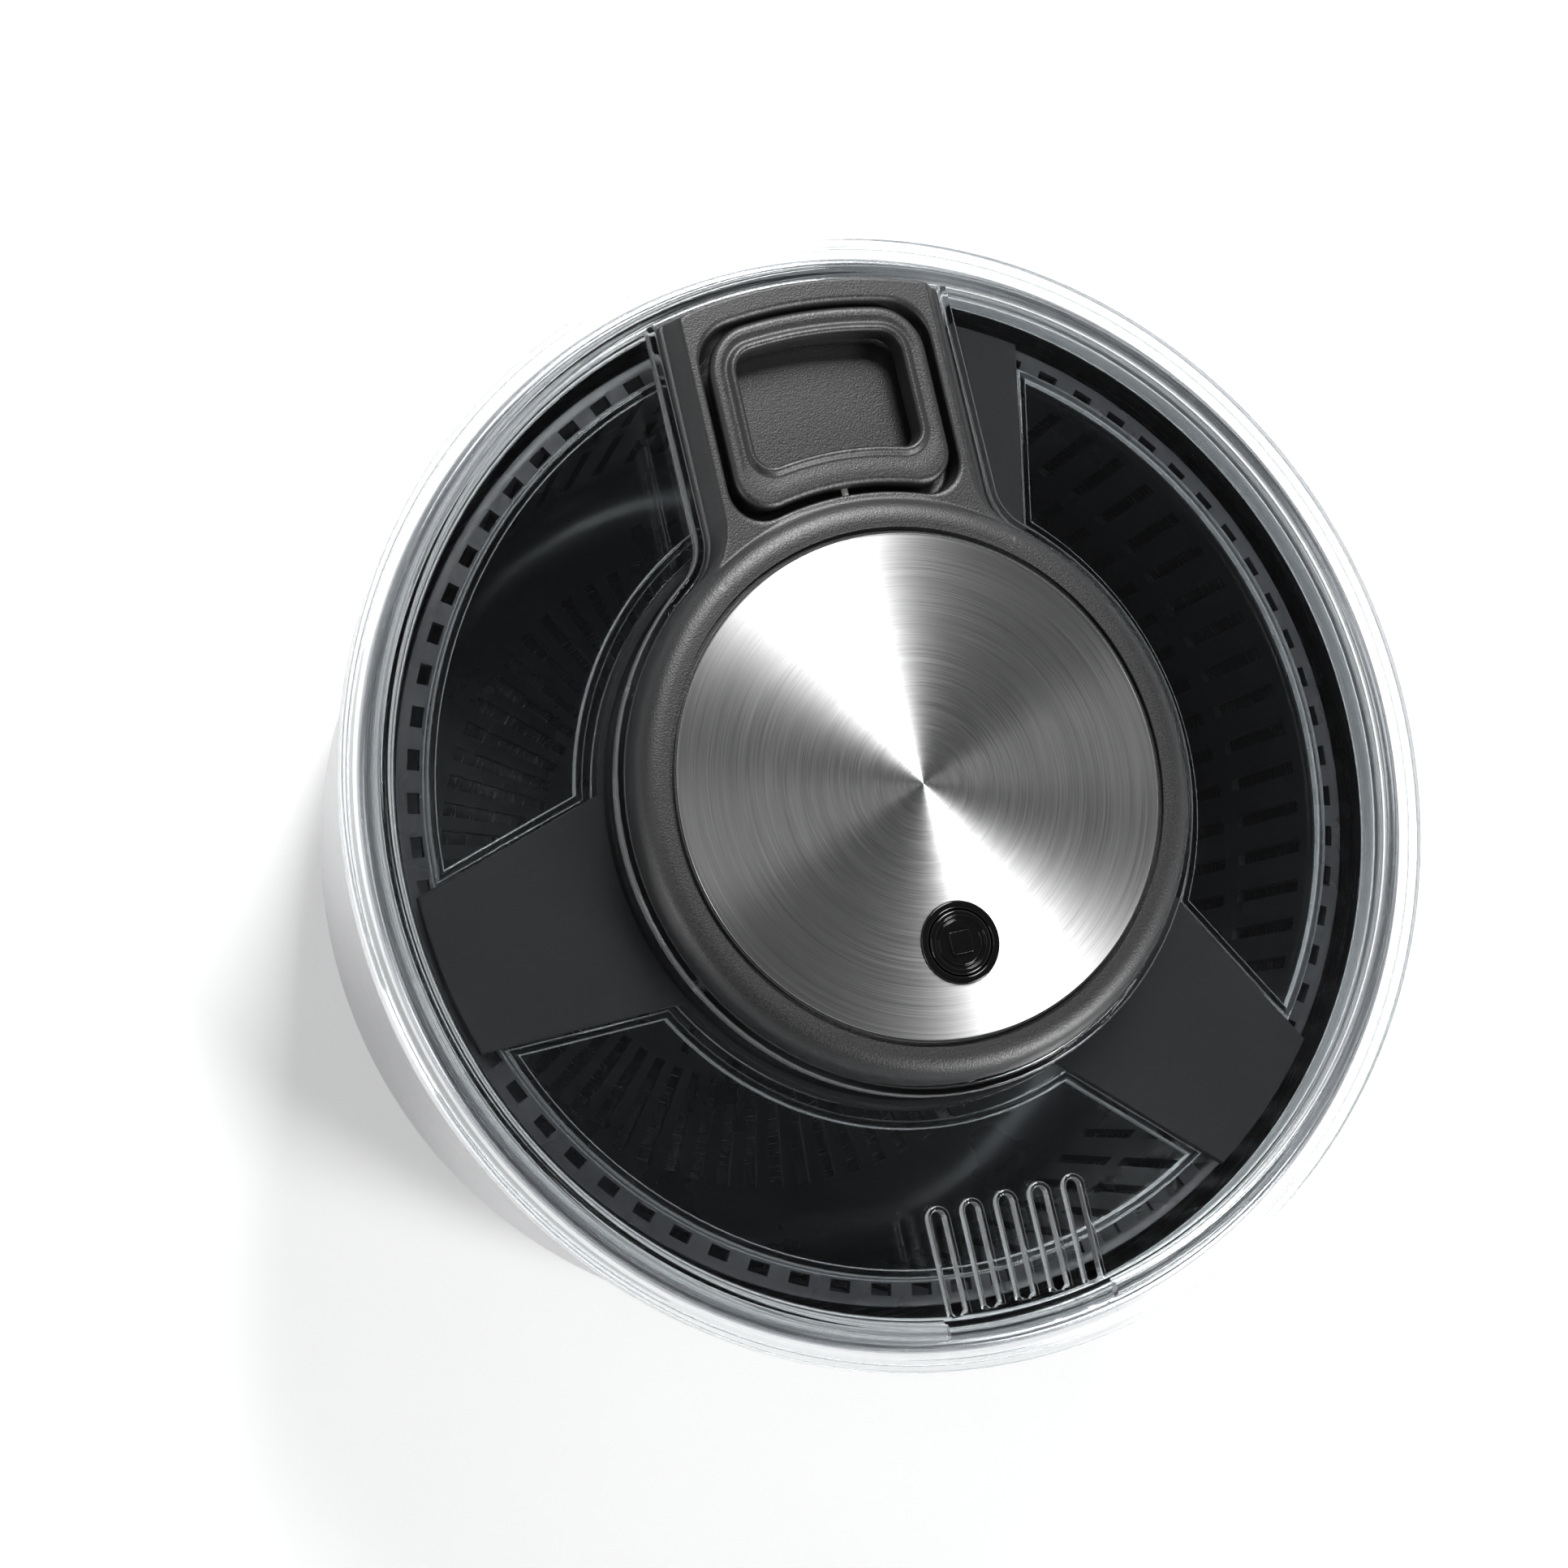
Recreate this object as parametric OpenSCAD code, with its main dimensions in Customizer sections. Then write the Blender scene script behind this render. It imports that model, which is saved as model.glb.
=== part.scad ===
// Pull-cord salad spinner: steel bowl, slotted basket and clear lid with the drive in a black housing.
// Millimetres, +Z up, origin at the bottom centre, pull handle towards +Y, drain slots towards -Y.

/* [Bowl] */
// Diameter over the bowl's rolled rim
bowl_d = 255; // [235:1:310]
// Height of the bowl's rim above the table
bowl_h = 130; // [105:1:165]
// Thickness of the bowl's sheet steel
bowl_wall = 1; // [0.8:0.1:1.4]
// Lean of the bowl's wall from upright, in degrees
bowl_lean = 5; // [3:0.5:7]
// Radius of the bend between the bowl's wall and base
bowl_corner = 36; // [26:1:44]
// Diameter of the bead rolled round the rim
bead_d = 3; // [2.4:0.1:4]
// Height of the silicone ring under the base
foot_h = 1.5; // [1:0.1:3]
// Width of the silicone ring
foot_w = 10; // [6:1:16]
// Diameter of the steel pin that the basket turns over
pivot_d = 8; // [6:0.5:9]

/* [Basket] */
// Gap between the basket's rim and the bowl's wall
basket_gap = 7; // [6:0.5:12]
// Height of the basket's floor above the table
basket_floor_z = 18; // [16:1:24]
// Wall of the basket
basket_wall = 2; // [1.6:0.1:2.6]
// Radius of the bend between the basket's wall and floor
basket_corner = 16; // [10:1:24]
// Number of slots round the basket's wall
wall_slots = 48; // [24:6:60]
// Number of slots in the basket's floor
floor_slots = 24; // [12:3:30]
// Width of the slots in the basket's wall and floor
slot_w = 3; // [2:0.2:4]
// Number of drive slots round the basket's rim
rim_slots = 72; // [36:36:72]

/* [Lid] */
// Thickness of the clear lid
lid_t = 2; // [1.6:0.1:2.6]
// How far the lid's flange stands out past the bowl's rim
lid_overhang = 4.5; // [3:0.5:7]
// Depth of the skirt that centres the lid in the bowl
skirt_h = 8; // [5:0.5:9]
// Height of the ridge round the lid
ridge_h = 2.7; // [1.5:0.1:4]
// Width of the ridge round the lid
ridge_w = 3.2; // [2.4:0.1:4.5]
// Width of the gap in the ridge that water is poured through
spout_w = 42; // [30:1:60]
// Number of drain slots
drain_count = 5; // [3:1:6]
// Spacing of the drain slots
drain_pitch = 8.5; // [7:0.5:9]
// Width of a drain slot
drain_w = 3.6; // [2.4:0.2:3.8]
// Length of a drain slot
drain_len = 24; // [16:1:28]
// Height of the clear wall round the housing
collar_h = 3; // [1.5:0.1:4]

/* [Housing] */
// Radius of the housing's round hub
hub_r = 67.8; // [64:0.2:72]
// Radius of the steel disc
disc_r = 58.3; // [52:0.1:59]
// Thickness of the steel disc
disc_t = 0.8; // [0.5:0.1:1.2]
// Height of the arm's top above the lid
arm_h = 6.7; // [5.5:0.1:7.5]
// Width across the top of the arm
arm_top_w = 62.4; // [60:0.2:75]
// How far the arm's side walls spread on the way down, each side
arm_spread = 4; // [2:0.5:6]
// Depth of the drive tray below the lid
tray_drop = 10.8; // [9:0.2:14]
// Wall of the housing and the tray
shell_wall = 2; // [1.6:0.1:2.4]

/* [Pull handle] */
// Width of the pull handle
handle_w = 54; // [46:0.5:55]
// Thickness of the pull handle
handle_t = 6; // [5:0.1:6.8]
// Groove between the handle and its well
handle_gap = 1.8; // [1.4:0.1:2.6]
// Width of the handle's side and outer bars
handle_bar = 6.5; // [5:0.5:9]
// Width of the handle's inner bar, which holds the cord
cord_bar = 9; // [8:0.5:12]
// Angle that the handle leaves its well at, above level
pull_angle = 60; // [50:1:75]
// Diameter of the cord
cord_d = 1.6; // [1.2:0.1:1.8]

/* [Drive] */
// Radius of the drum at the middle of the cord
drum_r = 20; // [17:0.5:22]
// Height of the drum's groove
drum_groove_h = 8.4; // [7.6:0.2:10]
// Turns of cord on the drum
cord_turns = 3.7; // [3:0.1:3.7]
// Number of teeth inside the ratchet ring
ratchet_teeth = 12; // [9:1:14]
// Height of the ratchet ring
ratchet_h = 5; // [4.4:0.1:6]
// Diameter of the drive shaft
shaft_d = 6; // [5:0.1:7]
// Turns of the flat return spring
spring_turns = 7; // [4:1:9]

/* [Stop button] */
// Diameter of the button
button_d = 15; // [12:0.5:17]
// Distance from the spinner's axis to the button
button_y = 37; // [36:0.5:44]
// Travel of the button
button_travel = 3.5; // [2.5:0.1:4]
// Width of the rim round the button
bezel_w = 2; // [1.4:0.1:3]

/* [Basket cover] */
// Width of a spoke where it leaves the hub
spoke_in_w = 51.6; // [36:0.2:56]
// Width of a spoke at its outer end
spoke_out_w = 35.8; // [24:0.2:44]
// Thickness of a spoke
spoke_t = 2.5; // [2:0.1:3.5]
// Thickness of the clear cover plate
cover_t = 2; // [1.6:0.1:2.6]
// Width and height of the ribs that frame the windows
rib_w = 2; // [1.2:0.1:2.6]

/* [Hidden] */
$fn = 96;
eps = 0.01;
seat_gap = 0.3;       // rest gap between pieces of different bodies
run_fit = 0.06;       // radial clearance of a turning fit
slide_fit = 0.1;      // radial clearance of a sliding fit

// Radii that follow the bowl
rim_r = bowl_d / 2;
wall_top_r = rim_r - bead_d / 2 - bowl_wall;
bowl_in_r = wall_top_r - bowl_wall;
foot_ring_r = wall_top_r - bowl_corner - bowl_h * tan(bowl_lean);
skirt_gap = 1.6;
skirt_t = 2;
skirt_r = bowl_in_r - skirt_gap;
lid_r = rim_r + lid_overhang;
lip_t = 1.8;
lip_h = 4;
ridge_out_r = wall_top_r - 0.5;
ridge_in_r = ridge_out_r - ridge_w;
basket_r = bowl_in_r - basket_gap;
basket_lean = 7;
ledge_w = basket_wall + 5;
arm_end_gap = 0.8;
arm_end_r = ridge_in_r - arm_end_gap;

// Heights from the rim down to the tray and up through the drive
lid_under = bowl_h + seat_gap;
lid_top = lid_under + lid_t;
tray_z = lid_under - tray_drop;
tray_floor_z = tray_z + shell_wall;
washer_t = 0.4;
ratchet_z = tray_floor_z + washer_t + 0.05;
ratchet_floor_t = 1.5;
drum_z = ratchet_z + ratchet_h + 0.45;
flange_t = 1.2;
drum_top = drum_z + 2 * flange_t + drum_groove_h;
ceiling_z = drum_top + 1;
plate_top = ceiling_z + shell_wall;
disc_top = plate_top + disc_t;
crest_z = disc_top - 0.6;
shoulder_z = crest_z - 4.9;
crest_r = disc_r + 3.7;
groove_in_r = disc_r + 0.2;
groove_out_r = disc_r + 2.2;
groove_z = plate_top - 1;
arm_top = lid_top + arm_h;
arm_base_w = arm_top_w + 2 * arm_spread;
tier_h = 2.2;
tier_step = 0.4;      // how far the arm's upper part stands back from its foot
waist_r = 12;         // rounding between arm and hub, at the collar's outer face
collar_gap = 0.5;
collar_t = 2.2;

// Handle and its well
well_in_r = hub_r + 1.2;
well_edge = 5.5;
well_out_r = arm_end_r - well_edge;
well_floor = lid_under + 0.3;
tub_t = 1.2;
tub_bottom = well_floor - 1.6;
draft = 1 / tan(pull_angle);
handle_top = arm_top + 0.4;
handle_z = handle_top - handle_t;
handle_in_r = well_in_r + handle_gap;
handle_out_r = well_out_r - handle_gap;
well_corner = 10.5;
handle_corner = 12;
inner_corner = 8;
opening_corner = 4;
lip_w = 1.5;
lip_rise = 0.6;
well_w = handle_w + 2 * handle_gap;
tub_out_r = well_out_r - (arm_top - lid_top) * draft + tub_t + 0.4;

// Hub, tray and cord
cavity_r = hub_r - 8.8;
tray_r = cavity_r + shell_wall + 0.7;
tray_flange_r = hub_r - 0.4;
tray_flange_t = 1.6;
cord_r = cord_d / 2;
core_r = drum_r - cord_r - 0.3;
drum_flange_r = drum_r + 3.5;
spring_well_r = core_r - 1.9;
cord_z = drum_top - flange_t - cord_r - 0.2;
cord_pitch = (drum_groove_h - cord_d - 0.3) / cord_turns;
shaft_r = shaft_d / 2;
arbor_r = shaft_r + 2;
arbor_z = drum_z + 0.2;
guide_r = cord_r + 1.4;
guide_in_y = cavity_r - 1.2;
ferrule_len = 3.6;
ferrule_r = cord_r + 1.1;
ferrule_y = handle_in_r + 4.5;
screw_angles = [-90, -30, 30, 150, 210];
screw_ring_r = hub_r - 2.8;
screw_r = 1.5;
screw_head_r = 2.6;
screw_len = 6.6;
screw_play = 0.2;

// The cord's route from the ferrule through the guide, as [y, z] at x = 0
cord_lead = [[ferrule_y - ferrule_len / 2, cord_z], [handle_in_r, cord_z], [well_in_r - 2, cord_z],
    [guide_in_y + 4, cord_z], [guide_in_y - 0.5, cord_z]];
lead_end_y = guide_in_y - 2;
lead_angle = 90 - acos(drum_r / lead_end_y);
cord_end_angle = lead_angle - 360 * cord_turns;
cord_end_z = cord_z - cord_pitch * cord_turns;

// Ratchet and pawls
tooth_tip_r = drum_r;
tooth_root_r = drum_r + 3;
ratchet_r = tooth_root_r + 2.2;
tooth_start = 16;
pawl_pivot_r = 12.5;
pawl_pin_r = 1.2;
pawl_len = 10.4;
pawl_eye_r = 2.6;
pawl_rest_angle = 73;
pawl_t = 2.6;
pawl_z = ratchet_z + ratchet_floor_t + 0.5;

// Basket cover
dish_gap = 2.3;
dish_z = tray_z - dish_gap;
dish_t = 2;
dish_r = hub_r + 4.2;
dish_wall = 2;
shaft_z = dish_z - 7;
cover_z = dish_z + 2.1;
cover_top = cover_z + cover_t;
spoke_top = cover_top + spoke_t;
spoke_angles = [70, 190, 310];
basket_top = cover_z - seat_gap;
spoke_out_r = basket_r - 1;
cover_out_r = basket_r - ledge_w + 1.3;
cover_in_r = dish_r + 0.3;
window_in_r = dish_r + 3;
spoke_in_s = 64.3;
rib_gap = 0.5;
lug_w = 3.6;
lug_t = 2;
lug_s = basket_r - basket_wall - 2;
rim_slot_w = lug_w + 1.2;
rim_slot_t = lug_t + 0.8;
cover_screw_s = [window_in_r + 8, cover_out_r - 8];
cover_screw_r = 1.1;

// Basket pivot
bush_r = pivot_d / 2 + 2;
bush_flange_z = basket_floor_z - 2;
bush_top = basket_floor_z + 12.8;
pin_top = bush_top - 4.3;
pin_play = 0.5;
wall_slot_z = basket_floor_z + 24;
wall_slot_h = basket_top - 14 - wall_slot_z;
floor_slot_r = [32, basket_r - 38];
boss_h = 16;

// Stop button
button_r = button_d / 2;
bezel_out_r = button_r + bezel_w;
button_top = disc_top + 0.3;
button_z = button_top - 5.3;
stem_r = 3;
pad_r = 4.4;
pad_t = 1.5;
pad_z = dish_z + seat_gap + button_travel;
plunger_foot_t = 2.5;
stem_guide_h = 5.7;
coil_r = 5.2;
coil_wire_r = 0.35;
coil_turns = 6;
spring_seat_z = tray_z + shell_wall + stem_guide_h;
spring_len = button_z - spring_seat_z - 2 * coil_wire_r - 0.1;

// Points of an arc round centre c
function arc(c, r, a0, a1, n = 8) =
    [for (i = [0:n]) let (a = a0 + (a1 - a0) * i / n) c + r * [cos(a), sin(a)]];

function reversed(v) = [for (i = [len(v) - 1:-1:0]) v[i]];

// Outline between two circles round the axis, half_w to each side, with rounded corners
function quad_outline(half_w, in_r, out_r, in_c, out_c) =
    let (
        in_y = sqrt(pow(in_r + in_c, 2) - pow(half_w - in_c, 2)),
        out_y = sqrt(pow(out_r - out_c, 2) - pow(half_w - out_c, 2)),
        in_a = atan2(in_y, half_w - in_c),
        out_a = atan2(out_y, half_w - out_c)
    )
    concat(
        arc([half_w - in_c, in_y], in_c, in_a + 180, 360),
        arc([half_w - out_c, out_y], out_c, 0, out_a),
        arc([0, 0], out_r, out_a, 180 - out_a, 12),
        arc([out_c - half_w, out_y], out_c, 180 - out_a, 180),
        arc([in_c - half_w, in_y], in_c, 180, 360 - in_a),
        arc([0, 0], in_r, 180 - in_a, in_a, 12));

// Keyhole outline: a round hub and an arm towards +Y, with a rounded waist of radius f
function key_outline(r, half_w, end_r, f) =
    let (
        fy = sqrt(pow(r + f, 2) - pow(half_w + f, 2)),
        fa = atan2(fy, half_w + f),
        end_a = acos(half_w / end_r)
    )
    concat(
        arc([half_w + f, fy], f, 180, 180 + fa),
        arc([0, 0], r, fa, -180 - fa, 48),
        arc([-half_w - f, fy], f, -fa, 0),
        arc([0, 0], end_r, 180 - end_a, end_a, 12));

// Outer points of a cup's half section, from the axis to its rim
function cup_side(top_r, top_z, base_z, lean, corner) =
    let (
        rise = top_z - base_z - corner * (1 - sin(lean)),
        cx = top_r - rise * tan(lean) - corner * cos(lean)
    )
    concat([[0, base_z]], arc([cx, base_z + corner], corner, -90, -lean, 10), [[top_r, top_z]]);

// Round cup of even wall
module cup(top_r, top_z, base_z, lean, corner, wall) {
    outside = cup_side(top_r, top_z, base_z, lean, corner);
    inside = cup_side(top_r - wall / cos(lean), top_z, base_z + wall, lean, corner - wall);
    rotate_extrude() polygon(concat(outside, reversed(inside)));
}

// Round wire or cord along a path that never runs upright
module sweep(path, r, sides = 8) {
    last = len(path) - 1;
    rings = [for (i = [0:last])
        let (
            t = path[min(i + 1, last)] - path[max(i - 1, 0)],
            side = cross(t, [0, 0, 1]) / norm(cross(t, [0, 0, 1])),
            up = cross(side, t) / norm(cross(side, t))
        )
        for (k = [0:sides - 1]) path[i] + r * (cos(360 * k / sides) * side + sin(360 * k / sides) * up)];
    walls = [for (i = [0:last - 1], k = [0:sides - 1])
        let (a = i * sides + k, b = i * sides + (k + 1) % sides) [a, b, b + sides, a + sides]];
    caps = [[for (k = [sides - 1:-1:0]) k], [for (k = [0:sides - 1]) last * sides + k]];
    polyhedron(rings, concat(walls, caps));
}

// Tube or washer
module ring(out_r, in_r, h) {
    difference() {
        cylinder(r = out_r, h = h);
        translate([0, 0, -1]) cylinder(r = in_r, h = h + 2);
    }
}

module at_angles(angles) {
    for (a = angles) rotate(a) children();
}

module bowl() color("silver") {
    cup(wall_top_r, bowl_h - bead_d / 2, foot_h, bowl_lean, bowl_corner, bowl_wall);
    translate([0, 0, bowl_h - bead_d / 2]) rotate_extrude() translate([rim_r - bead_d / 2, 0])
        circle(d = bead_d);
}

module foot_ring() color("dimgray") ring(foot_ring_r, foot_ring_r - foot_w, foot_h);

module pivot_pin() color("lightgray") translate([0, 0, foot_h + bowl_wall]) {
    cylinder(d = pivot_d, h = pin_top - foot_h - bowl_wall);
    cylinder(r = pivot_d / 2 + 10, h = 1.2);
}

module pivot_bush() color("whitesmoke") difference() {
    translate([0, 0, bush_flange_z]) {
        cylinder(r = bush_r + 3, h = basket_floor_z - bush_flange_z - seat_gap);
        cylinder(r = bush_r, h = bush_top - bush_flange_z);
    }
    translate([0, 0, bush_flange_z - 1])
        cylinder(r = pivot_d / 2 + slide_fit, h = pin_top + pin_play - bush_flange_z + 1);
}

module basket() color([0.16, 0.16, 0.17]) difference() {
    union() {
        cup(basket_r, basket_top, basket_floor_z, basket_lean, basket_corner, basket_wall);
        translate([0, 0, basket_top - 2]) ring(basket_r - 0.5, basket_r - ledge_w, 2);
        translate([0, 0, basket_floor_z]) cylinder(r = bush_r + 4, h = boss_h);
    }
    translate([0, 0, basket_floor_z - 1])
        cylinder(r = bush_r + run_fit, h = bush_top + seat_gap - basket_floor_z + 1);
    at_angles([for (i = [0:wall_slots - 1]) (i + 0.5) * 360 / wall_slots])
        translate([basket_r - 30, -slot_w / 2, wall_slot_z]) cube([40, slot_w, wall_slot_h]);
    at_angles([for (i = [0:floor_slots - 1]) i * 360 / floor_slots])
        translate([floor_slot_r[0], -slot_w / 2, basket_floor_z - 1])
            cube([floor_slot_r[1] - floor_slot_r[0], slot_w, basket_wall + 2]);
    at_angles([for (i = [0:rim_slots - 1]) spoke_angles[0] + i * 360 / rim_slots])
        translate([lug_s - rim_slot_t / 2, -rim_slot_w / 2, basket_top - 3])
            cube([rim_slot_t, rim_slot_w, 4]);
}

// One drain slot's outline, its rounded end towards the axis
module drain_outline(w, grow) {
    end_y = -(ridge_in_r - 2.8);
    start_y = end_y + drain_len;
    translate([0, start_y - w / 2]) circle(d = w + 2 * grow);
    translate([-w / 2 - grow, end_y - grow]) square([w + 2 * grow, drain_len - w / 2 + grow]);
}

module at_drains() {
    for (i = [0:drain_count - 1]) translate([(i - (drain_count - 1) / 2) * drain_pitch, 0]) children();
}

// Clear lid with flange, skirt, ridge, collar round the housing and drain slots
module lid() color([0.85, 0.9, 0.92, 0.4]) difference() {
    union() {
        rotate_extrude() polygon([[0, lid_under], [skirt_r - skirt_t, lid_under],
            [skirt_r - skirt_t, lid_under - skirt_h], [skirt_r, lid_under - skirt_h], [skirt_r, lid_under],
            [lid_r - lip_t, lid_under], [lid_r - lip_t, lid_top - lip_h], [lid_r, lid_top - lip_h],
            [lid_r, lid_top], [ridge_out_r, lid_top], [ridge_out_r, lid_top + ridge_h],
            [ridge_in_r, lid_top + ridge_h], [ridge_in_r, lid_top], [0, lid_top]]);
        translate([0, 0, lid_top - eps]) linear_extrude(collar_h) difference() {
            polygon(key_outline(hub_r + collar_gap + collar_t, arm_base_w / 2 + collar_gap + collar_t,
                ridge_in_r + 0.5, waist_r));
            polygon(key_outline(hub_r + collar_gap, arm_base_w / 2 + collar_gap, ridge_in_r + 1,
                waist_r + collar_t));
        }
        translate([0, 0, lid_top - eps]) linear_extrude(0.9) at_drains() drain_outline(drain_w, 1.1);
    }
    translate([0, 0, lid_under - 1]) cylinder(r = tray_r + 0.5, h = lid_t + 2);
    translate([0, 0, lid_under - 1]) linear_extrude(lid_t + 2)
        polygon(quad_outline(well_w / 2 + tub_t + 0.3, well_in_r - tub_t - 0.3, tub_out_r + 0.3,
            inner_corner, well_corner));
    translate([0, 0, lid_under - 1]) linear_extrude(lid_t + 4) at_drains() drain_outline(drain_w, 0);
    translate([-spout_w / 2, -lid_r, lid_top]) cube([spout_w, lid_r - ridge_in_r + 6, ridge_h + 1]);
    at_angles(screw_angles) translate([screw_ring_r, 0, lid_under - 1])
        cylinder(r = screw_r + screw_play, h = lid_t + 2);
}

// The well's outer wall leans out at the angle that the handle leaves at
module well_cut() intersection() {
    translate([0, 0, well_floor]) linear_extrude(arm_top - well_floor + 1)
        polygon(quad_outline(well_w / 2, well_in_r, well_out_r, inner_corner, well_corner));
    translate([0, 0, well_floor]) cylinder(r1 = well_out_r - (arm_top - well_floor) * draft,
        r2 = well_out_r + draft, h = arm_top - well_floor + 1);
}

module housing_top() color([0.09, 0.09, 0.1]) {
    difference() {
        union() {
            translate([0, 0, lid_top]) linear_extrude(tier_h)
                polygon(key_outline(hub_r - tier_step, arm_base_w / 2, arm_end_r,
                    waist_r + collar_t + collar_gap));
            intersection() {
                translate([0, arm_end_r + 5, 0]) rotate([90, 0, 0]) linear_extrude(arm_end_r - 25)
                    polygon([[tier_step - arm_base_w / 2, lid_top + 1],
                        [arm_base_w / 2 - tier_step, lid_top + 1],
                        [arm_top_w / 2, arm_top], [-arm_top_w / 2, arm_top]]);
                cylinder(r = arm_end_r - tier_step, h = arm_top + 10);
            }
            rotate_extrude() polygon([[0, lid_top], [hub_r, lid_top], [hub_r, shoulder_z],
                [crest_r, crest_z], [groove_out_r, crest_z], [groove_out_r, groove_z],
                [groove_in_r, groove_z], [groove_in_r, plate_top], [0, plate_top]]);
            translate([0, 0, tub_bottom]) linear_extrude(lid_top - tub_bottom + 1)
                polygon(quad_outline(well_w / 2 + tub_t, well_in_r - tub_t, tub_out_r, inner_corner,
                    well_corner));
        }
        translate([0, 0, lid_top - 8]) cylinder(r = cavity_r, h = ceiling_z - lid_top + 8);
        well_cut();
        translate([0, well_in_r + 3, cord_z]) rotate([90, 0, 0]) cylinder(r = guide_r + 0.05, h = 20);
        translate([0, -button_y, ceiling_z - 1]) cylinder(r = bezel_out_r - 0.5, h = shell_wall + 2);
        at_angles(screw_angles) translate([screw_ring_r, 0, lid_top - 1])
            cylinder(r = screw_r - 0.05, h = screw_len - 2.2);
    }
    translate([0, 0, arbor_z]) ring(arbor_r, shaft_r + run_fit, ceiling_z + 0.5 - arbor_z);
}

module housing_bottom() color([0.1, 0.1, 0.11]) difference() {
    union() {
        translate([0, 0, tray_z]) cylinder(r = tray_r, h = lid_top - 0.1 - tray_z);
        translate([0, 0, lid_under - tray_flange_t]) cylinder(r = tray_flange_r, h = tray_flange_t);
    }
    difference() {
        translate([0, 0, tray_floor_z]) cylinder(r = tray_r - shell_wall, h = lid_top - tray_floor_z + 1);
        translate([0, -button_y, tray_z]) cylinder(r = pad_r + 2, h = shell_wall + stem_guide_h);
    }
    translate([0, 0, tray_z - 1]) cylinder(r = arbor_r + 0.5, h = shell_wall + 2);
    translate([0, -button_y, tray_z - 1]) cylinder(r = pad_r + slide_fit, h = shell_wall + stem_guide_h + 2);
    at_angles(screw_angles) translate([screw_ring_r, 0, lid_under - tray_flange_t - 1])
        cylinder(r = screw_r + screw_play, h = tray_flange_t + 2);
}

module trim_disc() color("silver") difference() {
    translate([0, 0, plate_top]) cylinder(r = disc_r, h = disc_t);
    translate([0, -button_y, plate_top - 1]) cylinder(r = bezel_out_r + 0.1, h = disc_t + 2);
}

module button_bezel() color([0.03, 0.03, 0.03]) translate([0, -button_y, 0]) {
    translate([0, 0, plate_top]) ring(bezel_out_r, button_r + slide_fit, disc_t + 0.2);
    translate([0, 0, button_z - button_travel + 1.5])
        ring(bezel_out_r - 0.6, button_r + slide_fit, plate_top + eps - button_z + button_travel - 1.5);
}

module cord_guide() color("whitesmoke") translate([0, guide_in_y, cord_z]) rotate([-90, 0, 0]) {
    ring(guide_r + 1, cord_r + 0.4, 1);
    ring(guide_r, cord_r + 0.4, well_in_r - guide_in_y);
}

module bearing_bush() color("goldenrod") translate([0, 0, tray_z])
    ring(arbor_r + 0.45, shaft_r + run_fit, shell_wall);

module housing_screws() color("gray") at_angles(screw_angles)
    translate([screw_ring_r, 0, lid_under - tray_flange_t]) {
        cylinder(r = screw_r, h = screw_len);
        difference() {
            translate([0, 0, -1.6]) cylinder(r = screw_head_r, h = 1.6);
            translate([0, 0, -2]) cylinder(r = 1.1, h = 1.4, $fn = 6);
        }
    }

// Flat strip wound between the arbor and the drum
module return_spring() color("steelblue") {
    steps = spring_turns * 24;
    start_r = arbor_r + 0.15;
    grow = (spring_well_r - 0.8 - start_r) / steps;
    face = [for (i = [0:steps]) (start_r + grow * i) * [cos(15 * i), sin(15 * i)]];
    back = [for (i = [steps:-1:0]) (start_r + 0.4 + grow * i) * [cos(15 * i), sin(15 * i)]];
    translate([0, 0, drum_z + 3]) linear_extrude(drum_top - drum_z - 4) polygon(concat(face, back));
}

module button_spring() color("silver") translate([0, -button_y, spring_seat_z + coil_wire_r + 0.05])
    sweep([for (i = [0:coil_turns * 16]) let (a = 22.5 * i)
        [coil_r * cos(a), coil_r * sin(a), spring_len * i / (coil_turns * 16)]], coil_wire_r);

// Cord from the ferrule through the guide, tangent to the drum, round it and into its core
module pull_cord() color("white") {
    lead = [for (p = cord_lead) [0, p[0], p[1]]];
    turns = [for (i = [0:1:floor(cord_turns * 18)]) let (a = lead_angle - 20 * i)
        [drum_r * cos(a), drum_r * sin(a), cord_z - cord_pitch * i / 18]];
    tail = [for (s = [[0.1, 5], [1.2, 9.5], [2.9, 12]])
        let (a = cord_end_angle - s[1], r = drum_r - s[0]) [r * cos(a), r * sin(a), cord_end_z]];
    sweep(concat(lead, turns, tail), cord_r);
}

module pull_handle() color([0.1, 0.1, 0.11]) difference() {
    union() {
        intersection() {
            translate([0, 0, handle_z]) linear_extrude(handle_t)
                polygon(quad_outline(handle_w / 2, handle_in_r, handle_out_r, inner_corner, handle_corner));
            translate([0, 0, handle_z]) cylinder(r1 = handle_out_r - handle_t * draft, r2 = handle_out_r,
                h = handle_t);
        }
        translate([0, 0, handle_top - eps]) linear_extrude(lip_rise)
            polygon(quad_outline(handle_w / 2 - handle_bar + lip_w, handle_in_r + cord_bar - lip_w,
                handle_out_r - handle_bar + lip_w, opening_corner, opening_corner + 2));
    }
    translate([0, 0, handle_z - 1]) linear_extrude(handle_t + 3)
        polygon(quad_outline(handle_w / 2 - handle_bar, handle_in_r + cord_bar, handle_out_r - handle_bar,
            opening_corner, opening_corner + 1));
    translate([0, ferrule_y, handle_z - 1]) cylinder(r = ferrule_len / 2 + 1,
        h = cord_z + ferrule_r + 0.2 - handle_z + 1);
    translate([0, ferrule_y, cord_z]) rotate([90, 0, 0]) cylinder(r = cord_r + 0.4, h = 8);
}

module cord_ferrule() color("goldenrod") translate([0, ferrule_y - ferrule_len / 2, cord_z])
    rotate([-90, 0, 0]) cylinder(r = ferrule_r, h = ferrule_len);

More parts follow.
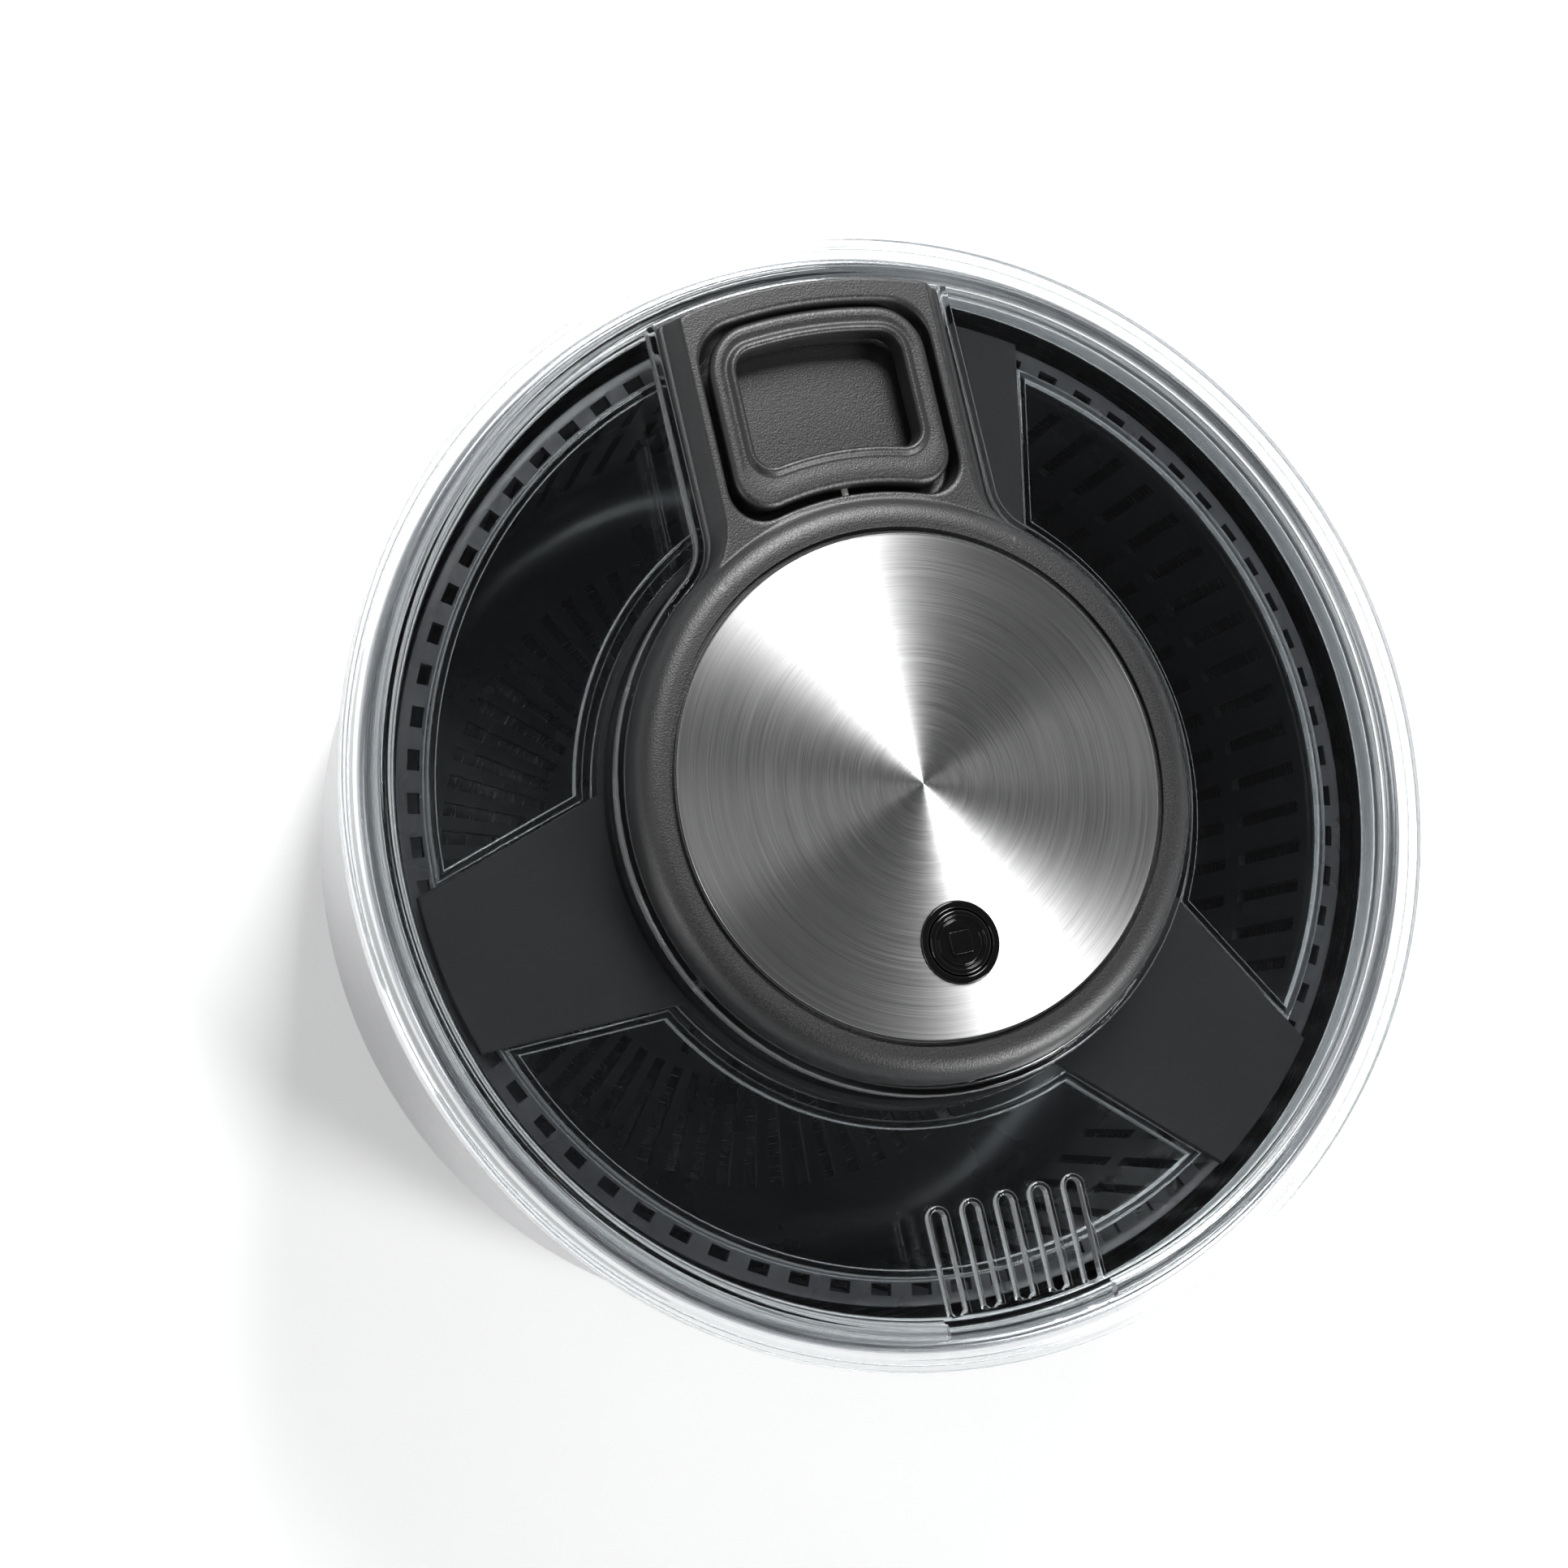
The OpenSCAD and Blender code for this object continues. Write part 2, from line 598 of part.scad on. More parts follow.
module cord_drum() color("ivory") difference() {
    rotate_extrude() polygon([[arbor_r + run_fit, drum_z], [drum_flange_r, drum_z],
        [drum_flange_r, drum_z + flange_t], [core_r, drum_z + flange_t], [core_r, drum_top - flange_t],
        [drum_flange_r, drum_top - flange_t], [drum_flange_r, drum_top], [spring_well_r, drum_top],
        [spring_well_r, drum_z + 2], [arbor_r + run_fit, drum_z + 2]]);
    translate([0, 0, cord_end_z]) rotate(cord_end_angle - 12) rotate([0, 90, 0])
        cylinder(r = cord_r + 1.4, h = drum_r);
    at_angles([0, 180]) translate([pawl_pivot_r, 0, drum_z - 1]) cylinder(r = pawl_pin_r, h = 4);
}

module pawl_pins() color("silver") at_angles([0, 180]) translate([pawl_pivot_r, 0, pawl_z - 0.2])
    cylinder(r = pawl_pin_r, h = drum_z + 2 - pawl_z + 0.2);

// Pawl drawn along X from its pin, laid at its folded angle
module pawl() color("darkorange") translate([pawl_pivot_r, 0, pawl_z]) rotate(pawl_rest_angle)
    linear_extrude(pawl_t) difference() {
        union() {
            circle(r = pawl_eye_r);
            polygon([[0, -2.4], [pawl_len - 1.6, -1.3], [pawl_len, -0.7], [pawl_len, 0.7],
                [pawl_len - 2, 1.5], [0, 2.4]]);
        }
        circle(r = pawl_pin_r + run_fit);
    }
module pawl_1() pawl();
module pawl_2() rotate(180) pawl();

module stop_button() color([0.02, 0.02, 0.02]) translate([0, -button_y, 0]) {
    difference() {
        translate([0, 0, button_z]) cylinder(r = button_r, h = button_top - button_z);
        translate([0, 0, button_top - 0.5]) ring(button_r - 1.4, button_r - 2.2, 1);
        translate([0, 0, button_z - 1]) cylinder(r = stem_r, h = 3);
    }
    translate([-2.6, -2.6, button_top - eps]) cube([5.2, 5.2, 0.3]);
}

module brake_plunger() color([0.2, 0.2, 0.22]) translate([0, -button_y, 0]) {
    translate([0, 0, pad_z + pad_t]) cylinder(r = pad_r, h = plunger_foot_t);
    translate([0, 0, pad_z + pad_t]) cylinder(r = stem_r - 0.02, h = button_z + 2 - pad_z - pad_t);
}

module brake_pad() color("firebrick") translate([0, -button_y, pad_z]) cylinder(r = pad_r - 0.1, h = pad_t);

module drive_shaft() color("silver") difference() {
    translate([0, 0, shaft_z]) cylinder(r = shaft_r, h = ceiling_z - 2 - shaft_z);
    translate([0, 0, shaft_z - 1]) cylinder(r = 1.4, h = 8);
}

// Cup with saw teeth inside, upright on the side that the pawls push
module ratchet_ring() color("slategray") difference() {
    translate([0, 0, ratchet_z]) cylinder(r = ratchet_r, h = ratchet_h);
    translate([0, 0, ratchet_z + ratchet_floor_t]) linear_extrude(ratchet_h) polygon([
        for (i = [0:ratchet_teeth - 1], p = [[tooth_root_r, 0], [tooth_root_r, 0.4], [tooth_tip_r, 0.43],
            [tooth_tip_r, 0.6]])
        let (a = tooth_start + (i + p[1]) * 360 / ratchet_teeth) p[0] * [cos(a), sin(a)]]);
    translate([0, 0, ratchet_z - 1]) cylinder(r = shaft_r, h = ratchet_h);
}

module thrust_washer() color("ivory") translate([0, 0, tray_floor_z + 0.02])
    ring(arbor_r + 3, shaft_r + slide_fit, washer_t);

module retaining_ring() color("dimgray") translate([0, 0, ratchet_z + ratchet_floor_t + 0.02])
    ring(shaft_r + 2.2, shaft_r, 0.8);

// A spoke's outline along X, widening towards the hub
module spoke_outline(grow) {
    half_in = spoke_in_w / 2 + grow;
    half_out = spoke_out_w / 2 + grow;
    intersection() {
        polygon([[spoke_in_s - 8, half_in], [spoke_in_s, half_in], [spoke_out_r + 3, half_out],
            [spoke_out_r + 3, -half_out], [spoke_in_s, -half_in], [spoke_in_s - 8, -half_in]]);
        circle(r = spoke_out_r);
    }
}

// Black dish round the drive, three spokes and the lugs that turn the basket
module spoke_carrier() color([0.12, 0.12, 0.13]) difference() {
    union() {
        translate([0, 0, dish_z - dish_t]) cylinder(r = dish_r, h = spoke_top - dish_z + dish_t);
        at_angles(spoke_angles) {
            translate([0, 0, cover_top]) linear_extrude(spoke_t) spoke_outline(0);
            translate([lug_s - lug_t / 2, -lug_w / 2, basket_top - 2.4])
                cube([lug_t, lug_w, cover_top + 1 - basket_top + 2.4]);
        }
        translate([0, 0, shaft_z]) cylinder(r = shaft_r + 5, h = dish_z - shaft_z);
    }
    translate([0, 0, dish_z]) cylinder(r = dish_r - dish_wall, h = 30);
    translate([0, 0, shaft_z - 1]) cylinder(r = shaft_r, h = dish_z - shaft_z + 2);
    at_angles(spoke_angles) for (s = cover_screw_s) translate([s, 0, cover_top - 1])
        cylinder(r = cover_screw_r - 0.05, h = spoke_t + 0.3);
}

// Clear ring under the spokes, with ribs that frame the three windows
module cover_plate() color([0.85, 0.9, 0.92, 0.35]) {
    difference() {
        translate([0, 0, cover_z]) ring(cover_out_r, cover_in_r, cover_t);
        at_angles(spoke_angles) for (s = cover_screw_s) translate([s, 0, cover_z - 1])
            cylinder(r = cover_screw_r + 0.15, h = cover_t + 2);
    }
    translate([0, 0, cover_top - eps]) difference() {
        union() {
            ring(cover_out_r, cover_out_r - rib_w, rib_w);
            ring(window_in_r + rib_w, window_in_r, rib_w);
            intersection() {
                ring(cover_out_r, window_in_r, rib_w);
                at_angles(spoke_angles) linear_extrude(rib_w) spoke_outline(rib_gap + rib_w);
            }
        }
        at_angles(spoke_angles) translate([0, 0, -1]) linear_extrude(rib_w + 2) spoke_outline(rib_gap);
    }
}

module cover_screws() color("gray") at_angles(spoke_angles) for (s = cover_screw_s) translate([s, 0, 0]) {
    translate([0, 0, cover_z]) cylinder(r = cover_screw_r, h = cover_t + spoke_t - 0.9);
    translate([0, 0, cover_z - 1.3]) cylinder(r = 2.3, h = 1.3);
}

module hub_screw() color("gray") translate([0, 0, shaft_z]) {
    cylinder(r = 1.5, h = 6.5);
    difference() {
        translate([0, 0, -2.2]) cylinder(r = 4.5, h = 2.2);
        translate([0, 0, -3]) cylinder(r = 1.6, h = 2, $fn = 6);
    }
}

bowl();
foot_ring();
pivot_pin();
pivot_bush();
basket();
lid();
housing_top();
housing_bottom();
trim_disc();
button_bezel();
cord_guide();
bearing_bush();
housing_screws();
return_spring();
button_spring();
pull_cord();
pull_handle();
cord_ferrule();
cord_drum();
pawl_pins();
pawl_1();
pawl_2();
stop_button();
brake_plunger();
brake_pad();
drive_shaft();
ratchet_ring();
thrust_washer();
retaining_ring();
spoke_carrier();
cover_plate();
cover_screws();
hub_screw();
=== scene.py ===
import math

import bmesh
import bpy
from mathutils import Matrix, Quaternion, Vector


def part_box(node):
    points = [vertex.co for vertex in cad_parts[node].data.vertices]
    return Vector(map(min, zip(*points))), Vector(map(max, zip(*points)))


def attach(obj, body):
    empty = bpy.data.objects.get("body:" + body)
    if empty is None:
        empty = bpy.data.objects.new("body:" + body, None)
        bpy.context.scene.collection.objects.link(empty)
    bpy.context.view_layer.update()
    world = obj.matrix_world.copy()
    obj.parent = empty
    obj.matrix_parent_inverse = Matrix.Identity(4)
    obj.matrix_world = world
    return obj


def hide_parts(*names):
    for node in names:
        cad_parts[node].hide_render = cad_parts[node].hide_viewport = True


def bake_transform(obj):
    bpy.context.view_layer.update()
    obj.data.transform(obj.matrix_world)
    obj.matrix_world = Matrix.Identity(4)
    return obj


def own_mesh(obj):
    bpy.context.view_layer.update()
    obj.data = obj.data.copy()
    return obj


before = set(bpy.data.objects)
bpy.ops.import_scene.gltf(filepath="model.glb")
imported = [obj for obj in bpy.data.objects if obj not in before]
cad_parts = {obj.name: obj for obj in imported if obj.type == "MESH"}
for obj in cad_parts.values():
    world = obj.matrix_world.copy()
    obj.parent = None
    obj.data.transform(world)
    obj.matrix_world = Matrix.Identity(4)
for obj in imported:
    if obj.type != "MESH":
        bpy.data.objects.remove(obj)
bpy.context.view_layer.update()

MM = 0.001
scene = bpy.context.scene

# --- Camera -------------------------------------------------------------------------------------
# The spinner is seen from high above its left side, with the pull handle away from the camera and
# the drain slots nearest to it.
eye = Vector((-302.7, -70.0, 870.4)) * MM
aim = Vector((-29.3, 6.9, 132.3)) * MM
camera_roll = math.radians(62.3)
camera_data = bpy.data.cameras.new("camera")
camera_data.lens = 80.1
camera_data.sensor_width = 36
camera = bpy.data.objects.new("camera", camera_data)
camera.location = eye
camera.rotation_mode = "QUATERNION"
facing = (aim - eye).to_track_quat("-Z", "Y")
camera.rotation_quaternion = facing @ Quaternion((0, 0, 1), camera_roll)
scene.collection.objects.link(camera)
scene.camera = camera

# --- Studio -------------------------------------------------------------------------------------
# A plain pale floor and soft lamps: two long ones that draw the bright wedges on the disc, a broad
# one overhead and a low one that lights the bowl's side.


def add_node(tree, kind, links=(), **values):
    """A node with some values set and some inputs linked: links are (input, from socket)."""
    made = tree.nodes.new(kind)
    for label, value in values.items():
        setattr(made, label, value)
    for label, socket in links:
        if isinstance(socket, bpy.types.NodeSocket):
            tree.links.new(socket, made.inputs[label])
        else:
            made.inputs[label].default_value = socket
    return made


def ramp(tree, factor, low, high, low_at=0.0, high_at=1.0):
    """A number from low to high as factor goes from low_at to high_at."""
    links = [("Value", factor), ("From Min", low_at), ("From Max", high_at), ("To Min", low),
        ("To Max", high)]
    return add_node(tree, "ShaderNodeMapRange", links).outputs["Result"]


def calc(tree, operation, *values):
    """The result of a sum on numbers or sockets."""
    return add_node(tree, "ShaderNodeMath", enumerate(values), operation=operation).outputs[0]


world = bpy.data.worlds.new("studio")
world.use_nodes = True
sky = world.node_tree
sky.nodes["Background"].inputs["Color"].default_value = (0.96, 0.98, 1.0, 1)
way = add_node(sky, "ShaderNodeTexCoord").outputs["Generated"]
height = add_node(sky, "ShaderNodeSeparateXYZ", [("Vector", way)]).outputs["Z"]
horizon, zenith = 0.62, 0.03
strength = ramp(sky, height, horizon, zenith, 0.3, 0.72)
sky.links.new(strength, sky.nodes["Background"].inputs["Strength"])
scene.world = world
scene.view_settings.view_transform = "Standard"


def soft_lamp(name, place, target, width, length, watts):
    """A soft rectangular lamp at place, facing target, its sizes in metres."""
    data = bpy.data.lights.new(name, "AREA")
    data.shape = "RECTANGLE"
    data.size = width
    data.size_y = length
    data.energy = watts
    lamp = bpy.data.objects.new(name, data)
    lamp.location = place
    lamp.rotation_mode = "QUATERNION"
    lamp.rotation_quaternion = (Vector(target) - Vector(place)).to_track_quat("-Z", "Y")
    scene.collection.objects.link(lamp)


soft_lamp("key", (0.30, 0.98, 1.2), (0, 0, 0.1), 0.5, 0.8, 22)
soft_lamp("back", (0.84, -0.93, 0.99), (0, 0, 0.1), 0.4, 0.8, 16)
soft_lamp("side", (-1.3, -0.35, 0.7), (0, 0, 0.05), 0.35, 0.8, 3)
soft_lamp("top", (-0.9, 0.2, 1.9), (0, 0, 0), 0.7, 0.7, 2.5)

floor_reach = 6.0
floor_corners = [(x * floor_reach, y * floor_reach, 0)
    for x, y in ((-1, -1), (1, -1), (1, 1), (-1, 1))]
floor_mesh = bpy.data.meshes.new("floor")
floor_mesh.from_pydata(floor_corners, [], [(0, 1, 2, 3)])
floor = bpy.data.objects.new("floor", floor_mesh)
scene.collection.objects.link(floor)
floor_paint = bpy.data.materials.new("floor_paint")
floor_paint.use_nodes = True
floor_shader = floor_paint.node_tree.nodes["Principled BSDF"]
floor_shader.inputs["Base Color"].default_value = (0.97, 0.97, 0.965, 1)
floor_shader.inputs["Roughness"].default_value = 0.7
floor_shader.inputs["Emission Color"].default_value = (1, 1, 1, 1)
floor_shader.inputs["Emission Strength"].default_value = 0.2
floor_mesh.materials.append(floor_paint)

# --- Bowl ---------------------------------------------------------------------------------------
# Stainless steel, drawn from one sheet 1 mm thick and satin finished all over. Its rim is rolled
# outwards into a bead that the lid's flange covers.


def arc_points(centre, radius, start, end, steps=8):
    """Points (r, z) of an arc, its angles in degrees."""
    points = []
    for i in range(steps + 1):
        a = math.radians(start + (end - start) * i / steps)
        points.append((centre[0] + radius * math.cos(a), centre[1] + radius * math.sin(a)))
    return points


def cup_side(top_r, top_z, base_z, lean, corner, first_r=0.0, steps=10):
    """Half section of a cup's face from first_r on its base, round the bend and up to its rim."""
    slope = math.radians(lean)
    rise = top_z - base_z - corner * (1 - math.sin(slope))
    bend_r = top_r - rise * math.tan(slope) - corner * math.cos(slope)
    bend = arc_points((bend_r, base_z + corner), corner, -90, -lean, steps)
    return [(first_r, base_z)] + bend + [(top_r, top_z)]


def outward(made):
    """Turns a closed skin's faces outwards."""
    bmesh.ops.recalc_face_normals(made, faces=made.faces)
    if made.calc_volume(signed=True) < 0:
        bmesh.ops.reverse_faces(made, faces=made.faces)
    return made


def turned(outline, steps=192):
    """Closed outline of (r, z) points in millimetres, turned about the spin axis into a bmesh."""
    made = bmesh.new()
    rings = []
    for r, z in outline:
        if r < 1e-4:
            rings.append([made.verts.new((0, 0, z * MM))])
            continue
        ring = []
        for i in range(steps):
            a = math.tau * i / steps
            ring.append(made.verts.new((r * MM * math.cos(a), r * MM * math.sin(a), z * MM)))
        rings.append(ring)
    for low, high in zip(rings, rings[1:] + rings[:1]):
        if len(low) == 1 and len(high) == 1:
            continue
        for i in range(steps):
            j = (i + 1) % steps
            if len(low) == 1:
                made.faces.new((low[0], high[j], high[i]))
            elif len(high) == 1:
                made.faces.new((low[i], low[j], high[0]))
            else:
                made.faces.new((low[i], low[j], high[j], high[i]))
    return outward(made)


def piece_from(name, made):
    """A bmesh as an object that lies where its points are."""
    mesh = bpy.data.meshes.new(name)
    made.to_mesh(mesh)
    made.free()
    piece = bpy.data.objects.new(name, mesh)
    scene.collection.objects.link(piece)
    return piece


def settle(piece, body, slot, finish, *nodes, sharp=30):
    """Gives a piece its finish, shades it, and lets it ride on a body in place of CAD nodes."""
    piece.data.materials.clear()
    piece.data.materials.append(finish)
    piece.data.shade_smooth()
    piece.data.set_sharp_from_angle(angle=math.radians(sharp))
    if body:
        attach(piece, body)
    if nodes:
        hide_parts(*nodes)
    return piece


def new_finish(name, **values):
    """A material with its Principled shader's plain values set, and its node tree to add to."""
    material = bpy.data.materials.new(name)
    material.use_nodes = True
    shader = material.node_tree.nodes["Principled BSDF"]
    for label, value in values.items():
        shader.inputs[label.replace("_", " ")].default_value = value
    return material, material.node_tree, shader


def tint(tree, factor, dark, light):
    """A colour between two, by factor."""
    links = [("Factor", factor), ("A", (*dark, 1)), ("B", (*light, 1))]
    mixed = add_node(tree, "ShaderNodeMix", data_type="RGBA")
    for label, value in links:
        socket = [s for s in mixed.inputs if s.name == label and s.enabled][0]
        if isinstance(value, bpy.types.NodeSocket):
            tree.links.new(value, socket)
        else:
            socket.default_value = value
    return [s for s in mixed.outputs if s.enabled][0]


def place_on(tree):
    """Where a point of the surface lies, in metres from the object's origin."""
    return add_node(tree, "ShaderNodeTexCoord").outputs["Object"]


def noise(tree, place, scale, detail, rough=0.5, distortion=0.0):
    """Noise from 0 to 1 at a place, with scale bumps a metre."""
    links = [("Vector", place), ("Scale", scale), ("Detail", detail), ("Roughness", rough),
        ("Distortion", distortion)]
    return add_node(tree, "ShaderNodeTexNoise", links).outputs["Fac"]


def round_grain(tree, across, along):
    """Noise drawn out into fine rings round the spin axis: across is rings per metre."""
    split = add_node(tree, "ShaderNodeSeparateXYZ", [("Vector", place_on(tree))]).outputs
    flat = add_node(tree, "ShaderNodeCombineXYZ", [("X", split["X"]), ("Y", split["Y"])]).outputs[0]
    radius = add_node(tree, "ShaderNodeVectorMath", [(0, flat)], operation="LENGTH").outputs
    way = add_node(tree, "ShaderNodeVectorMath", [(0, flat)], operation="NORMALIZE").outputs
    way = add_node(tree, "ShaderNodeSeparateXYZ", [("Vector", way["Vector"])]).outputs
    rings = calc(tree, "MULTIPLY", calc(tree, "ADD", radius["Value"], split["Z"]), across)
    east = calc(tree, "MULTIPLY", way["X"], along)
    north = calc(tree, "MULTIPLY", way["Y"], along)
    place = add_node(tree, "ShaderNodeCombineXYZ", [("X", rings), ("Y", east), ("Z", north)])
    return noise(tree, place.outputs["Vector"], 1.0, 3.0, 0.6)


def bump(tree, shader, height, distance):
    """Raises the shader's surface by height times distance, in metres."""
    links = [("Height", height), ("Distance", distance), ("Strength", 1.0)]
    made = add_node(tree, "ShaderNodeBump", links)
    tree.links.new(made.outputs["Normal"], shader.inputs["Normal"])


def follow_rings(tree, shader):
    """Turns a shader's brushing so that it runs round the spin axis."""
    radial = add_node(tree, "ShaderNodeTangent", direction_type="RADIAL", axis="Z")
    tree.links.new(radial.outputs["Tangent"], shader.inputs["Tangent"])


def spun_steel(name, dark, light, rough, spread, anisotropic):
    """Steel with fine rings of brushing round the spin axis."""
    finish, tree, shader = new_finish(name, Metallic=1.0, Anisotropic=anisotropic,
        Anisotropic_Rotation=0.25)
    rings = round_grain(tree, 2600.0, 5.0)
    tree.links.new(tint(tree, rings, dark, light), shader.inputs["Base Color"])
    tree.links.new(ramp(tree, rings, rough - spread, rough + spread, 0.3, 0.7),
        shader.inputs["Roughness"])
    follow_rings(tree, shader)
    bump(tree, shader, rings, 0.000004)
    return finish


bowl_steel = spun_steel("bowl_steel", (0.4, 0.4, 0.41), (0.56, 0.56, 0.57), 0.24, 0.05, 0.45)

rim_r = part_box("bowl")[1].x / MM
bowl_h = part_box("bowl")[1].z / MM
foot_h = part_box("bowl")[0].z / MM
bead_r = 1.5
sheet = 1.0
bowl_lean = 5
bowl_bend = 36
bowl_wall_r = rim_r - bead_r - sheet
bead_centre = (rim_r - bead_r, bowl_h - bead_r)
outside = cup_side(bowl_wall_r, bowl_h - 2.4, foot_h, bowl_lean, bowl_bend, steps=16)
bead = arc_points(bead_centre, bead_r, -125, 150, 18)
inside = cup_side(bowl_wall_r - sheet, bowl_h - 1.6, foot_h + sheet, bowl_lean, bowl_bend - sheet,
    steps=16)
settle(piece_from("bowl_shell", turned(outside + bead + inside[::-1], 256)), "bowl", "steel",
    bowl_steel, "bowl")

# --- Foot ring ----------------------------------------------------------------------------------
# A silicone ring bonded under the base, so that the bowl grips the table while the basket spins.


def rounded(corners, steps=4, pad=0.12):
    """Closed outline through (x, y, radius) corners, each rounded off by an arc. A point a little
    way along each straight side keeps flat faces flat when they are shaded smooth."""
    points = []
    for i, (x, y, radius) in enumerate(corners):
        here = Vector((x, y))
        if not radius:
            points.append((x, y))
            continue
        back = (Vector(corners[i - 1][:2]) - here).normalized()
        ahead = (Vector(corners[(i + 1) % len(corners)][:2]) - here).normalized()
        half = back.angle(ahead) / 2
        reach = radius / math.tan(half)
        middle = here + (back + ahead).normalized() * radius / math.sin(half)
        first = here + back * reach - middle
        last = here + ahead * reach - middle
        sweep = first.angle(last)
        points.append(tuple(here + back * (reach + pad)))
        for k in range(steps + 1):
            t = k / steps
            leg = (first * math.sin((1 - t) * sweep) + last * math.sin(t * sweep)) / math.sin(sweep)
            points.append(tuple(middle + leg))
        points.append(tuple(here + ahead * (reach + pad)))
    return points


def moulded(name, dark, light, rough, spread, grain, depth, specular=0.5):
    """Moulded plastic or rubber: a fine pebbled skin, grain bumps a metre, depth high in metres."""
    finish, tree, shader = new_finish(name, Specular_IOR_Level=specular)
    place = place_on(tree)
    pebbles = noise(tree, place, grain, 2.0)
    cloud = noise(tree, place, 35.0, 4.0)
    tree.links.new(tint(tree, pebbles, dark, light), shader.inputs["Base Color"])
    tree.links.new(ramp(tree, cloud, rough - spread, rough + spread, 0.3, 0.7),
        shader.inputs["Roughness"])
    bump(tree, shader, pebbles, depth)
    return finish


silicone = moulded("silicone", (0.03, 0.03, 0.032), (0.05, 0.05, 0.053), 0.6, 0.06, 1500.0, 0.00003)
foot_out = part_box("foot_ring")[1].x / MM
foot_width = 10
foot_section = rounded([(foot_out, 0, 0.5), (foot_out, foot_h + 0.2, 0), (foot_out - foot_width,
    foot_h + 0.2, 0), (foot_out - foot_width, 0, 0.5), (foot_out - foot_width / 2 - 1, 0, 0.15),
    (foot_out - foot_width / 2, 0.4, 0.15), (foot_out - foot_width / 2 + 1, 0, 0.15)], pad=0.05)
settle(piece_from("foot_pad", turned(foot_section)), "bowl", "silicone", silicone, "foot_ring")

# --- Pivot --------------------------------------------------------------------------------------
# A steel pin spot-welded to the middle of the bowl, and the nylon bush that turns on it.


def polished(name, dark, light, rough, scratches=900.0):
    """Machined or rolled metal with faint scratches all over."""
    finish, tree, shader = new_finish(name, Metallic=1.0)
    marks = noise(tree, place_on(tree), scratches, 5.0, distortion=0.6)
    tree.links.new(tint(tree, marks, dark, light), shader.inputs["Base Color"])
    tree.links.new(ramp(tree, marks, rough - 0.08, rough + 0.1, 0.3, 0.7),
        shader.inputs["Roughness"])
    bump(tree, shader, marks, 0.000006)
    return finish


def dress(finish, *nodes):
    """A finish on CAD nodes that stay as they are."""
    for node in nodes:
        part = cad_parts[node]
        part.data.materials.clear()
        part.data.materials.append(finish)


plated_steel = polished("plated_steel", (0.5, 0.51, 0.53), (0.72, 0.73, 0.75), 0.26)
nylon = moulded("nylon", (0.6, 0.59, 0.54), (0.72, 0.71, 0.66), 0.45, 0.08, 900.0, 0.000012)
dress(plated_steel, "pivot_pin", "drive_shaft", "retaining_ring", "hub_screw", "pawl_pins")
dress(nylon, "pivot_bush", "cord_drum", "cord_guide", "thrust_washer")

# --- Basket -------------------------------------------------------------------------------------
# Black polypropylene, moulded in one piece: slotted wall and floor, a hoop halfway up, and a rim
# ledge whose slots take the cover's lugs. One sector is modelled and repeated round the axis.

basket_black = moulded("basket_black", (0.012, 0.012, 0.013), (0.022, 0.022, 0.024), 0.3, 0.06,
    700.0, 0.00001)


def sector(stations, angles, is_open):
    """One sector of a round shell. stations are (outer r, z, inner r, z), angles are in degrees,
    and is_open(i, j) says which cells are holes. The two radial ends are left open."""
    made = bmesh.new()
    outer = []
    inner = []
    for out_r, out_z, in_r, in_z in stations:
        outer.append([])
        inner.append([])
        for angle in angles:
            c = math.cos(math.radians(angle)) * MM
            s = math.sin(math.radians(angle)) * MM
            outer[-1].append(made.verts.new((out_r * c, out_r * s, out_z * MM)))
            inner[-1].append(made.verts.new((in_r * c, in_r * s, in_z * MM)))
    last_i = len(stations) - 1
    last_j = len(angles) - 1
    solid = {(i, j) for i in range(last_i) for j in range(last_j) if not is_open(i, j)}
    for i, j in sorted(solid):
        a, b, c, d = (i, j), (i, j + 1), (i + 1, j + 1), (i + 1, j)
        made.faces.new([outer[y][x] for y, x in (a, b, c, d)])
        made.faces.new([inner[y][x] for y, x in (a, d, c, b)])
        borders = [(a, b, (i - 1, j) not in solid), (c, d, (i + 1, j) not in solid),
            (d, a, (i, j - 1) not in solid and j > 0),
            (b, c, (i, j + 1) not in solid and j + 1 < last_j)]
        for (y, x), (v, u), is_border in borders:
            if is_border:
                made.faces.new((outer[y][x], inner[y][x], inner[v][u], outer[v][u]))
    return made


def start_tree(name, **kinds):
    """A geometry node tree whose inputs are a shape, the named ones and a finish."""
    tree = bpy.data.node_groups.new(name, "GeometryNodeTree")
    tree.interface.new_socket("Geometry", in_out="OUTPUT", socket_type="NodeSocketGeometry")
    for label, kind in {"Geometry": "Geometry", **kinds, "Finish": "Material"}.items():
        tree.interface.new_socket(label.replace("_", " "), in_out="INPUT",
            socket_type="NodeSocket" + kind)
    return tree, tree.nodes.new("NodeGroupInput").outputs


def turned_about_z(tree, angle):
    """A rotation about the spin axis."""
    turn = add_node(tree, "ShaderNodeCombineXYZ", [("Z", angle)]).outputs["Vector"]
    return add_node(tree, "FunctionNodeEulerToRotation", [("Euler", turn)]).outputs["Rotation"]


def end_tree(tree, shape, finish, weld=None):
    """Makes a tree's shape real, welds it where a distance is given, and sets its finish."""
    shape = add_node(tree, "GeometryNodeRealizeInstances", [("Geometry", shape)]).outputs[0]
    if weld:
        links = [("Geometry", shape), ("Distance", weld)]
        shape = add_node(tree, "GeometryNodeMergeByDistance", links).outputs["Geometry"]
    done = add_node(tree, "GeometryNodeSetMaterial", [("Geometry", shape), ("Material", finish)])
    out = tree.nodes.new("NodeGroupOutput")
    tree.links.new(done.outputs["Geometry"], out.inputs["Geometry"])
    return tree


